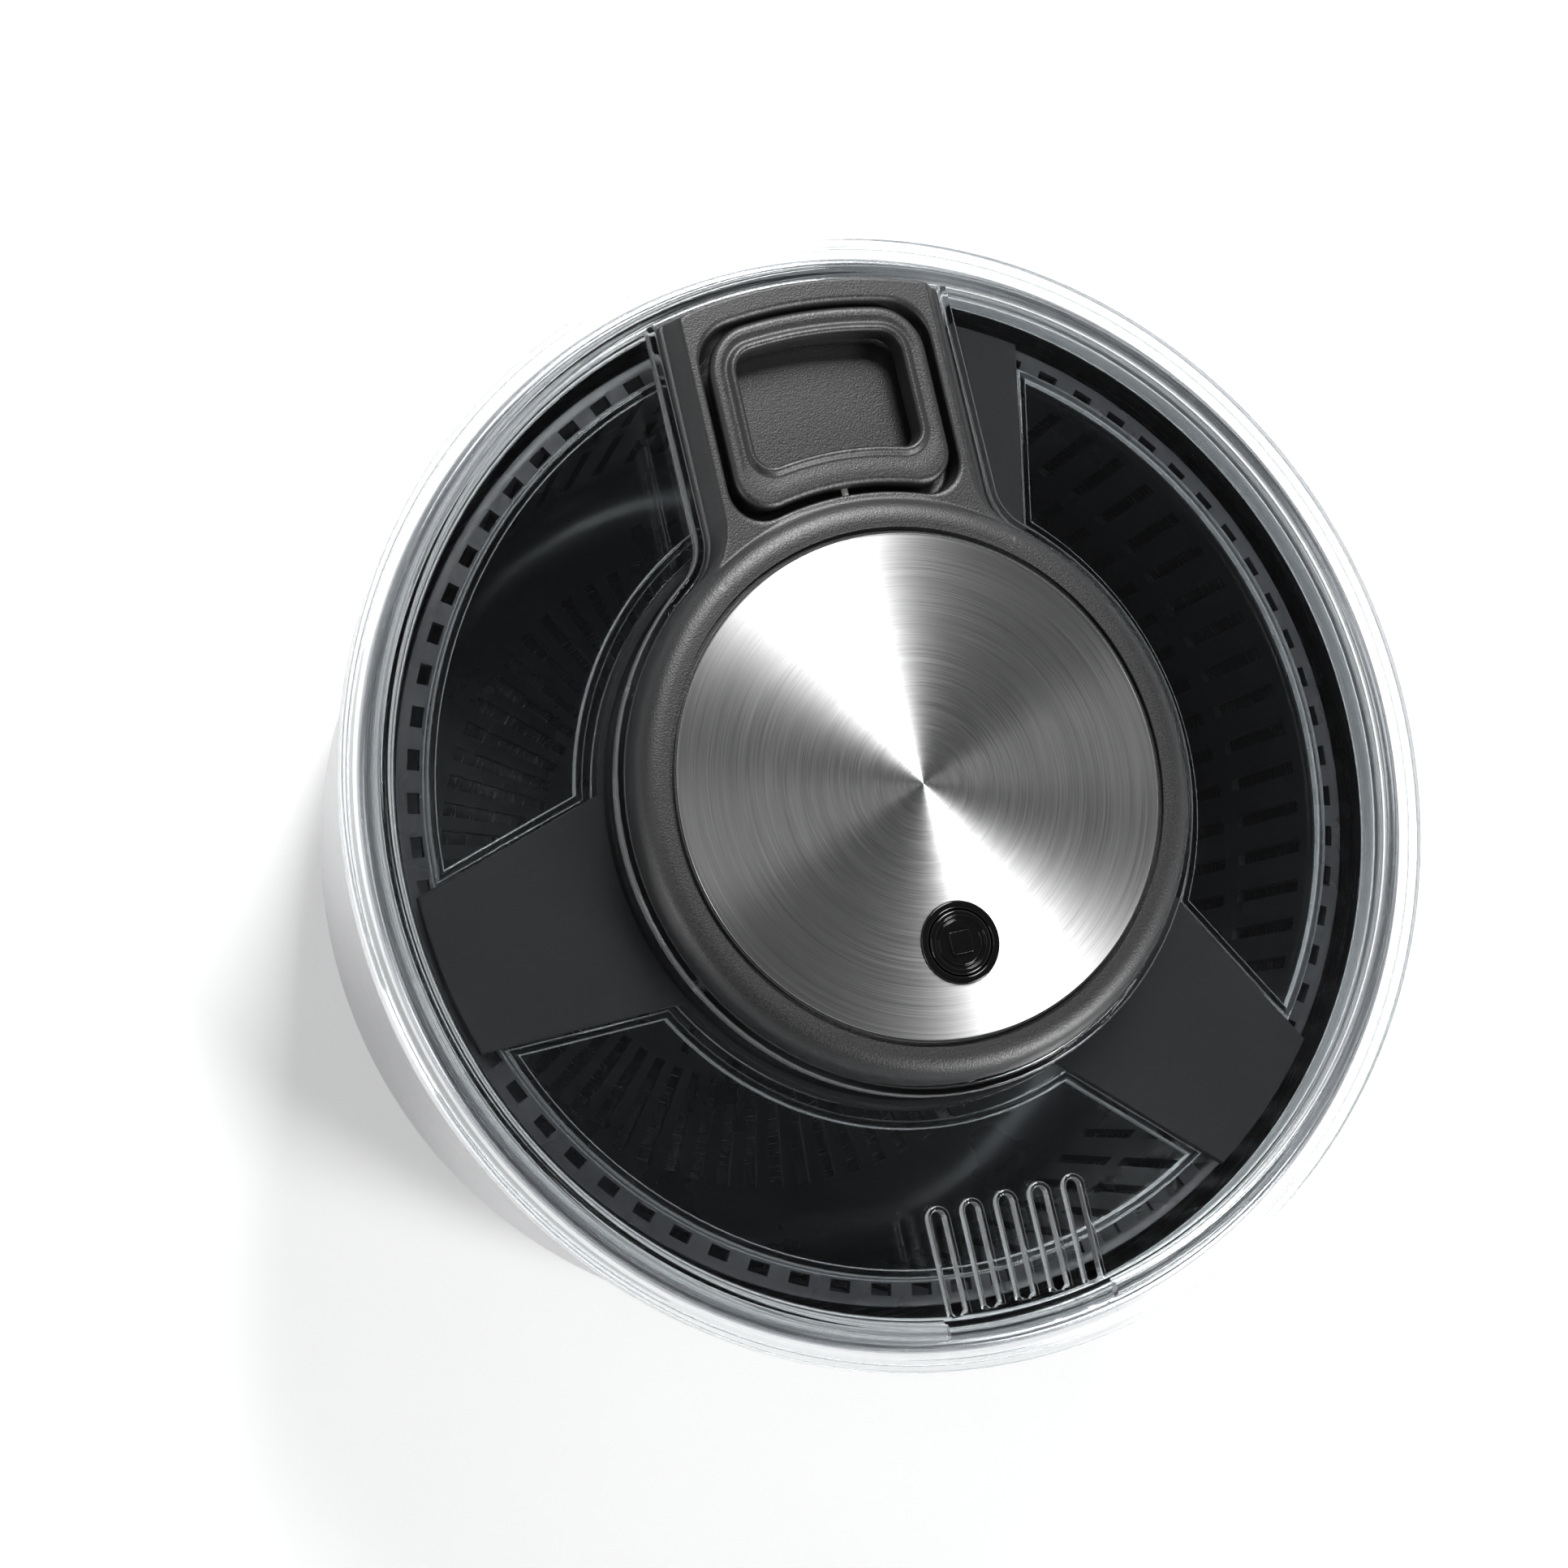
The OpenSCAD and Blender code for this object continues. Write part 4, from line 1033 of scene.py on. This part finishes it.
def tub_outline(grow):
    """The outline of the well's tub, which hangs through the lid, grown by grow."""
    return quad_outline(well[0] + tub_wall + grow, well[1] - tub_wall - grow, tub_out_r + grow,
        well[3], well[4])


tub_hole = lofted([at_z(tub_outline(0.3), z) for z in (lid_under - 1, lid_top + 1)])
carve(lid_piece, piece_from("tub_cut", tub_hole))
settle(lid_piece, "lid", "clear_plastic", clear_lid, "lid", sharp=40)

# --- Housing ------------------------------------------------------------------------------------
# Black ABS with a fine spark-eroded grain: the hub with the disc's seat, and the arm with the
# handle's well. The arm's sloping sides are left smooth.


def grained(name, dark, light, rough, grain, depth):
    """Black plastic with a pebbled grain, smooth on steep faces."""
    finish, tree, shader = new_finish(name, Specular_IOR_Level=0.9)
    pebbles = noise(tree, place_on(tree), grain, 2.5, 0.55)
    level = ramp(tree, facing_up(tree), 0.15, 1.0, 0.55, 0.75)
    tree.links.new(tint(tree, pebbles, dark, light), shader.inputs["Base Color"])
    spread = ramp(tree, pebbles, rough - 0.06, rough + 0.06, 0.35, 0.65)
    tree.links.new(spread, shader.inputs["Roughness"])
    bump(tree, shader, calc(tree, "MULTIPLY", pebbles, level), depth)
    return finish


housing_black = grained("housing_black", (0.006, 0.006, 0.0065), (0.012, 0.012, 0.0125), 0.42,
    2200.0, 0.00008)
hub_r = 67.8
crest = (62, 141.4)
shoulder_z = 136.5
seat_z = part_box("trim_disc")[0].z / MM
ceiling_z = seat_z - 2
bulge = (66.9, 141.2)


def slope_points(steps=14):
    """The hub's rounded slope, from its crest down to its side, as (r, z)."""
    row = []
    for k in range(steps + 1):
        t = k / steps
        row.append(tuple(crest[i] * (1 - t) ** 2 + bulge[i] * 2 * t * (1 - t)
            + (hub_r, shoulder_z)[i] * t * t for i in range(2)))
    return row


SLOPE = slope_points()


def slope_z(r):
    """Height of the hub's slope at radius r."""
    if r <= crest[0]:
        return crest[1]
    for (r0, z0), (r1, z1) in zip(SLOPE, SLOPE[1:]):
        if r <= r1:
            return z0 + (z1 - z0) * (r - r0) / (r1 - r0)
    return shoulder_z - (r - hub_r) * 20


def slope_r(z):
    """Radius at which the hub's slope passes height z."""
    for (r0, z0), (r1, z1) in zip(SLOPE, SLOPE[1:]):
        if z >= z1:
            return r0 + (r1 - r0) * (z0 - z) / (z0 - z1)
    return hub_r


shaft_play = 3.06
hub_section = [(0, seat_z)] + rounded([(58.5, seat_z, 0.2), (58.5, seat_z - 1, 0.3),
    (60.5, seat_z - 1, 0.3), (60.5, crest[1], 0.4)]) + SLOPE + [(hub_r, lid_top),
    (59, lid_top), (59, ceiling_z), (5, ceiling_z), (5, 127.6), (shaft_play, 127.6),
    (shaft_play, ceiling_z), (0, ceiling_z)]
housing = piece_from("housing_shell", turned(hub_section, 256))


def resample(points, count):
    """count points spread evenly along an open line of points, both ends kept."""
    spans = [math.dist(a, b) for a, b in zip(points, points[1:])]
    total = sum(spans)
    out = []
    i = 0
    passed = 0.0
    for k in range(count):
        want = total * k / (count - 1)
        while i < len(spans) - 1 and passed + spans[i] < want:
            passed += spans[i]
            i += 1
        t = min(1.0, max(0.0, (want - passed) / spans[i])) if spans[i] else 0.0
        out.append(tuple(points[i][n] + (points[i + 1][n] - points[i][n]) * t for n in range(2)))
    return out


SIDE_COUNTS = (33, 29, 57, 41, 57, 29)


def six_sides(*sides):
    """A closed loop from its sides, each given the same number of points on every loop."""
    loop = []
    for side, count in zip(sides, SIDE_COUNTS):
        loop += resample(side, count)[:-1]
    return loop


def well_loop(half_w, in_r, out_r, in_c, out_c):
    """The well's outline, split where the arm's outline turns: at its corners and inner side."""
    points = quad_outline(half_w, in_r, out_r, in_c, out_c, 8, 24)
    return six_sides(points[60:81], points[80:] + points[:5], points[4:14], points[13:46],
        points[45:55], points[54:61])


def mirrored(side):
    """A side's points on the other side of the arm, run backwards."""
    return [(-x, y) for x, y in side[::-1]]


arm_root = 61.2


def arm_loop(half_w, hub, end_r, waist, grow=0.0, root=arm_root, corner=1.2):
    """The arm's outline: straight sides that flare into the hub, and an end round the axis."""
    half = half_w + grow
    fillet = waist - grow
    reach = hub + grow
    fy = math.sqrt((reach + fillet) ** 2 - (half + fillet) ** 2)
    fa = math.degrees(math.atan2(fy, half + fillet))
    end = end_r + grow
    out_x = half - corner
    out_y = math.sqrt((end - corner) ** 2 - out_x ** 2)
    out_a = math.degrees(math.atan2(out_y, out_x))
    bend = arc_points((out_x, out_y), corner, 0, out_a, 8)
    in_arc = arc_points((0, 0), root, 180 - fa, fa, 40)
    flare = [in_arc[-1]] + arc_points((half + fillet, fy), fillet, 180 + fa, 180, 24)
    right = [flare[-1]] + bend[:5]
    outer = (bend[4:] + arc_points((0, 0), end, out_a, 180 - out_a, 40)[1:-1]
        + mirrored(bend[4:]))
    return six_sides(in_arc, flare, right, outer, mirrored(right), mirrored(flare))


def mixed(one, other, t):
    """A loop a share t of the way from one loop to another."""
    return [tuple(a + (b - a) * t for a, b in zip(p, q)) for p, q in zip(one, other)]


def on_hub(loop, z, soft=1.3):
    """Lays a loop at height z, or on the hub's slope where that is higher, softly joined."""
    out = []
    for x, y in loop:
        hub_z = slope_z(math.hypot(x, y)) + 0.03
        away = abs(math.degrees(math.atan2(x, y)))
        k = soft * min(1.0, max(0.0, (34 - away) / 14)) + 1e-4
        h = max(k - abs(z - hub_z), 0) / k
        out.append((x, y, max(z, hub_z) + h * h * k / 4))
    return out


arm_half = (31.2, 35.2)
arm_end = 120.5
waist_top = 18
waist_low = 14.7
tier_z = 134.5


def arm_at(z, grow=0.0, root=arm_root):
    """The arm's outline at height z on its sloping side, its inner end at radius root."""
    t = (well_top - z) / (well_top - tier_z)
    half = arm_half[0] + (arm_half[1] - 1.0 - arm_half[0]) * t
    waist = waist_top + (waist_low - waist_top) * t
    return arm_loop(half, slope_r(min(z, crest[1])), arm_end - 0.4 + 0.2 * t, waist, grow, root)


def inset_well(shape, inset, lean=0.0):
    """The outline of a shape like the well, drawn in by inset, its outer end leaning in by lean."""
    half, in_r, out_r, in_c, out_c = shape
    return well_loop(half - inset, in_r + inset, out_r - inset - lean, in_c, out_c)


tub = (well[0] + tub_wall, well[1] - tub_wall, tub_out_r, well[3], well[4])
tub_under = well_floor - 1.6
arm_under = lid_top + 0.04
low_loop = arm_loop(arm_half[1], hub_r - 0.1, arm_end, waist_low)
loops = [at_z(inset_well(tub, 2), tub_under)]
loops += [at_z(inset_well(tub, i), tub_under + d) for i, d in edge_steps(0.8)]
loops += [at_z(inset_well(tub, 0), arm_under), at_z(low_loop, arm_under)]
loops += [at_z(arm_loop(arm_half[1], hub_r - 0.1, arm_end, waist_low, -i), tier_z - d)
    for i, d in edge_steps(0.5)[::-1]]
loops += [at_z(arm_at(tier_z + h), tier_z + h) for h in (0.05, 0.4, 1.2, 2.0, 2.8, 3.4)]
edge = 0.8
top_loop = arm_at(well_top, -edge * 0.75, arm_root + 0.4)
loops += [on_hub(mixed(arm_at(well_top - edge), top_loop, t),
    well_top - edge * (1 - math.sin(t * math.pi / 2))) for t in (0, 0.2, 0.4, 0.6, 0.8, 1)]
lip_loop = inset_well(well, -edge)
loops += [on_hub(mixed(top_loop, lip_loop, k / 14), well_top) for k in range(1, 15)]
loops += [on_hub(inset_well(well, -inset, drop * pull_slope), well_top - drop)
    for inset, drop in edge_steps(edge, 5)[1:]]
depth = well_top - well_floor
loops += [at_z(inset_well(well, 0, depth * h * pull_slope), well_top - depth * h)
    for h in (0.3, 0.6, 0.9)]
loops += [at_z(inset_well(well, i, depth * pull_slope), well_floor + d)
    for i, d in edge_steps(0.8)[::-1]]
loops += [at_z(inset_well(well, 1.5, depth * pull_slope), well_floor)]
carve(housing, piece_from("housing_arm", lofted(loops)), "UNION")

button_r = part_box("stop_button")[1].x / MM
bezel_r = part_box("button_bezel")[1].x / MM


def drill(name, radius, place, direction, length, sides=64):
    """A round cutter from place along a direction."""
    far = Vector(place) + Vector(direction) * length
    return piece_from(name, lofted([circle(end, direction, radius, sides) for end in (place, far)]))


carve(housing, drill("button_cut", bezel_r - 0.5, (0, button_y, ceiling_z - 1), (0, 0, 1), 6))
carve(housing, drill("guide_cut", 2.25, (0, 55, cord_z), (0, 1, 0), 20, 32))
settle(housing, "lid", "grained_plastic", housing_black, "housing_top", sharp=35)

# --- Disc ---------------------------------------------------------------------------------------
# A stainless disc, face-turned so that its fine rings draw bright wedges of light, its edge broken
# by a small chamfer. It is bonded into the hub's seat.


def turned_face(name, dark, light):
    """Steel turned on a lathe: rings of slightly different depth that stretch reflections."""
    finish, tree, shader = new_finish(name, Metallic=1.0, Anisotropic=0.92,
        Anisotropic_Rotation=0.25)
    fine = round_grain(tree, 5200.0, 1.2)
    broad = round_grain(tree, 420.0, 1.6)
    both = calc(tree, "MULTIPLY_ADD", broad, 0.45, fine)
    tree.links.new(tint(tree, ramp(tree, both, 0, 1, 0.45, 1.0), dark, light),
        shader.inputs["Base Color"])
    tree.links.new(ramp(tree, fine, 0.36, 0.44, 0.3, 0.7), shader.inputs["Roughness"])
    follow_rings(tree, shader)
    bump(tree, shader, both, 0.000006)
    return finish


disc_steel = turned_face("disc_steel", (0.5, 0.5, 0.5), (0.78, 0.78, 0.78))
disc_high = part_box("trim_disc")[1]
disc_r = disc_high.x / MM
disc_top = disc_high.z / MM
disc_edge = rounded([(disc_r, seat_z + 0.01, 0), (disc_r, disc_top - 0.35, 0.1),
    (disc_r - 0.35, disc_top, 0.1)], 2, 0.03)
disc = piece_from("disc_face", turned([(0, seat_z + 0.01)] + disc_edge + [(0, disc_top)], 256))
carve(disc, drill("disc_hole", bezel_r + 0.1, (0, button_y, seat_z - 2), (0, 0, 1), 6, 96))
settle(disc, "lid", "brushed_disc", disc_steel, "trim_disc")

# --- Stop button --------------------------------------------------------------------------------
# Glossy black ABS. The button has a turned-in ring and a small raised square, and slides in a
# glossy bezel set into the disc.

gloss_black = moulded("gloss_black", (0.004, 0.004, 0.004), (0.006, 0.006, 0.006), 0.07, 0.02,
    300.0, 0.000002)


def placed(made, offset):
    """Moves a bmesh by an offset in millimetres."""
    bmesh.ops.translate(made, verts=made.verts, vec=Vector(offset) * MM)
    return made


bezel_low, bezel_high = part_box("button_bezel")
bezel_top = bezel_high.z / MM
bore_r = button_r + 0.25
bezel_section = rounded([(bore_r, bezel_low.z / MM, 0), (bezel_r - 0.6, bezel_low.z / MM, 0),
    (bezel_r - 0.6, seat_z, 0), (bezel_r, seat_z, 0), (bezel_r, bezel_top, 0.35),
    (bore_r, bezel_top, 0.45)], 5)
bezel = piece_from("bezel", placed(turned(bezel_section, 96), (0, button_y, 0)))
settle(bezel, "lid", "gloss_plastic", gloss_black, "button_bezel")
button_low, button_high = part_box("stop_button")
mark_top = button_high.z / MM
cap_top = mark_top - 0.3
cap_section = rounded([(1.9, button_low.z / MM, 0), (button_r, button_low.z / MM, 0.3),
    (button_r, cap_top, 0.6), (button_r - 1.3, cap_top, 0.25),
    (button_r - 1.5, cap_top - 0.45, 0.15), (button_r - 2.1, cap_top - 0.45, 0.15),
    (button_r - 2.3, cap_top, 0.25)], 5)
cap_section += [(0, cap_top), (0, button_low.z / MM + 2), (1.9, button_low.z / MM + 2)]
cap = piece_from("stop_cap", placed(turned(cap_section, 96), (0, button_y, 0)))


def square_outline(inset):
    """The outline of the raised square on the button, drawn in by inset."""
    half = 2.6 - inset
    return [(x, y + button_y) for x, y in rounded([(half, -half, 0.5), (half, half, 0.5),
        (-half, half, 0.5), (-half, -half, 0.5)], 4, 0.05)]


carve(cap, piece_from("stop_mark", slab(square_outline, cap_top - 0.4, mark_top, 0.15)), "UNION")
settle(cap, "button", "gloss_plastic", gloss_black, "stop_button", sharp=35)

# --- Pull handle --------------------------------------------------------------------------------
# Black grained ABS, a bar round an opening for the fingers. The bar is slightly crowned, with a
# raised lip round the opening, and its outer end leans so that it leaves the well at a slant.

handle_low, handle_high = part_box("pull_handle")
handle_z = handle_low.z / MM
handle_top = handle_high.z / MM - 0.6
handle_outer = (27, 70.8, 113.2, 8, 12)
opening = (20.5, 79.8, 106.7, 4, 5)


def bar_outer(inset, z):
    """The handle's outline at height z, drawn in by inset."""
    half, in_r, out_r, in_c, out_c = handle_outer
    lean = (handle_top - z) * pull_slope
    return quad_outline(half - inset, in_r + inset, out_r - inset - lean, in_c - inset,
        out_c - inset, 10, 24)


def bar_inner(grow):
    """The opening's outline, grown by grow."""
    half, in_r, out_r, in_c, out_c = opening
    return quad_outline(half + grow, in_r - grow, out_r + grow, in_c + grow, out_c + grow, 10, 24)


handle_loops = [at_z(bar_inner(0.5), handle_z), at_z(bar_inner(0.15), handle_z + 0.15),
    at_z(bar_inner(0), handle_z + 0.5), at_z(bar_inner(0), handle_top - 1.4)]
for grow, rise in ((0.06, -0.7), (0.2, -0.1), (0.45, 0.3), (0.8, 0.52), (1.2, 0.55), (1.6, 0.42),
        (1.95, 0.15), (2.25, -0.1), (2.6, -0.22), (3.0, -0.2)):
    handle_loops.append(at_z(bar_inner(grow), handle_top + rise))
crown = bar_outer(1.9, handle_top)
for t, rise in ((0.3, -0.1), (0.55, 0.0), (0.8, 0.02)):
    handle_loops.append(at_z(mixed(bar_inner(3.0), crown, t), handle_top + rise))
handle_loops.append(at_z(crown, handle_top))
for inset, drop in edge_steps(1.6, 7):
    handle_loops.append(at_z(bar_outer(inset, handle_top), handle_top - drop))
handle_mid = (handle_top + handle_z) / 2
handle_loops.append(at_z(bar_outer(0, handle_mid), handle_mid))
for inset, drop in edge_steps(0.8)[::-1]:
    handle_loops.append(at_z(bar_outer(inset, handle_z + drop), handle_z + drop))
handle = piece_from("handle_bar", lofted(handle_loops, closed=True))
ferrule_low, ferrule_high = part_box("cord_ferrule")
ferrule_mid = (ferrule_low.y + ferrule_high.y) / 2 / MM
ferrule_half = (ferrule_high.y - ferrule_low.y) / 2 / MM
carve(handle, drill("ferrule_cut", ferrule_half + 1, (0, ferrule_mid, handle_z - 1), (0, 0, 1),
    cord_z + 2.1 - handle_z + 1, 48))
carve(handle, drill("cord_cut", cord_r + 0.4, (0, ferrule_mid, cord_z), (0, -1, 0), 8, 24))
settle(handle, "handle", "grained_plastic", housing_black, "pull_handle", sharp=40)

# --- Screws -------------------------------------------------------------------------------------
# Five self-tapping steel screws hold the tray and the lid to the housing from below.

screws_low, screws_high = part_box("housing_screws")
screw_head_h = 1.6
screw_seat = screws_low.z / MM + screw_head_h
screw_length = screws_high.z / MM - screw_seat
screw_ring_r = 65
for number, angle in enumerate((-90, -30, 30, 150, 210)):
    way = math.radians(angle)
    made = screw(1.6, 3.0, screw_head_h, screw_length,
        (screw_ring_r * math.cos(way), screw_ring_r * math.sin(way), screw_seat))
    settle(piece_from(f"housing_screw_{number + 1}", made), "lid", "screw_steel", plated_steel,
        "housing_screws")
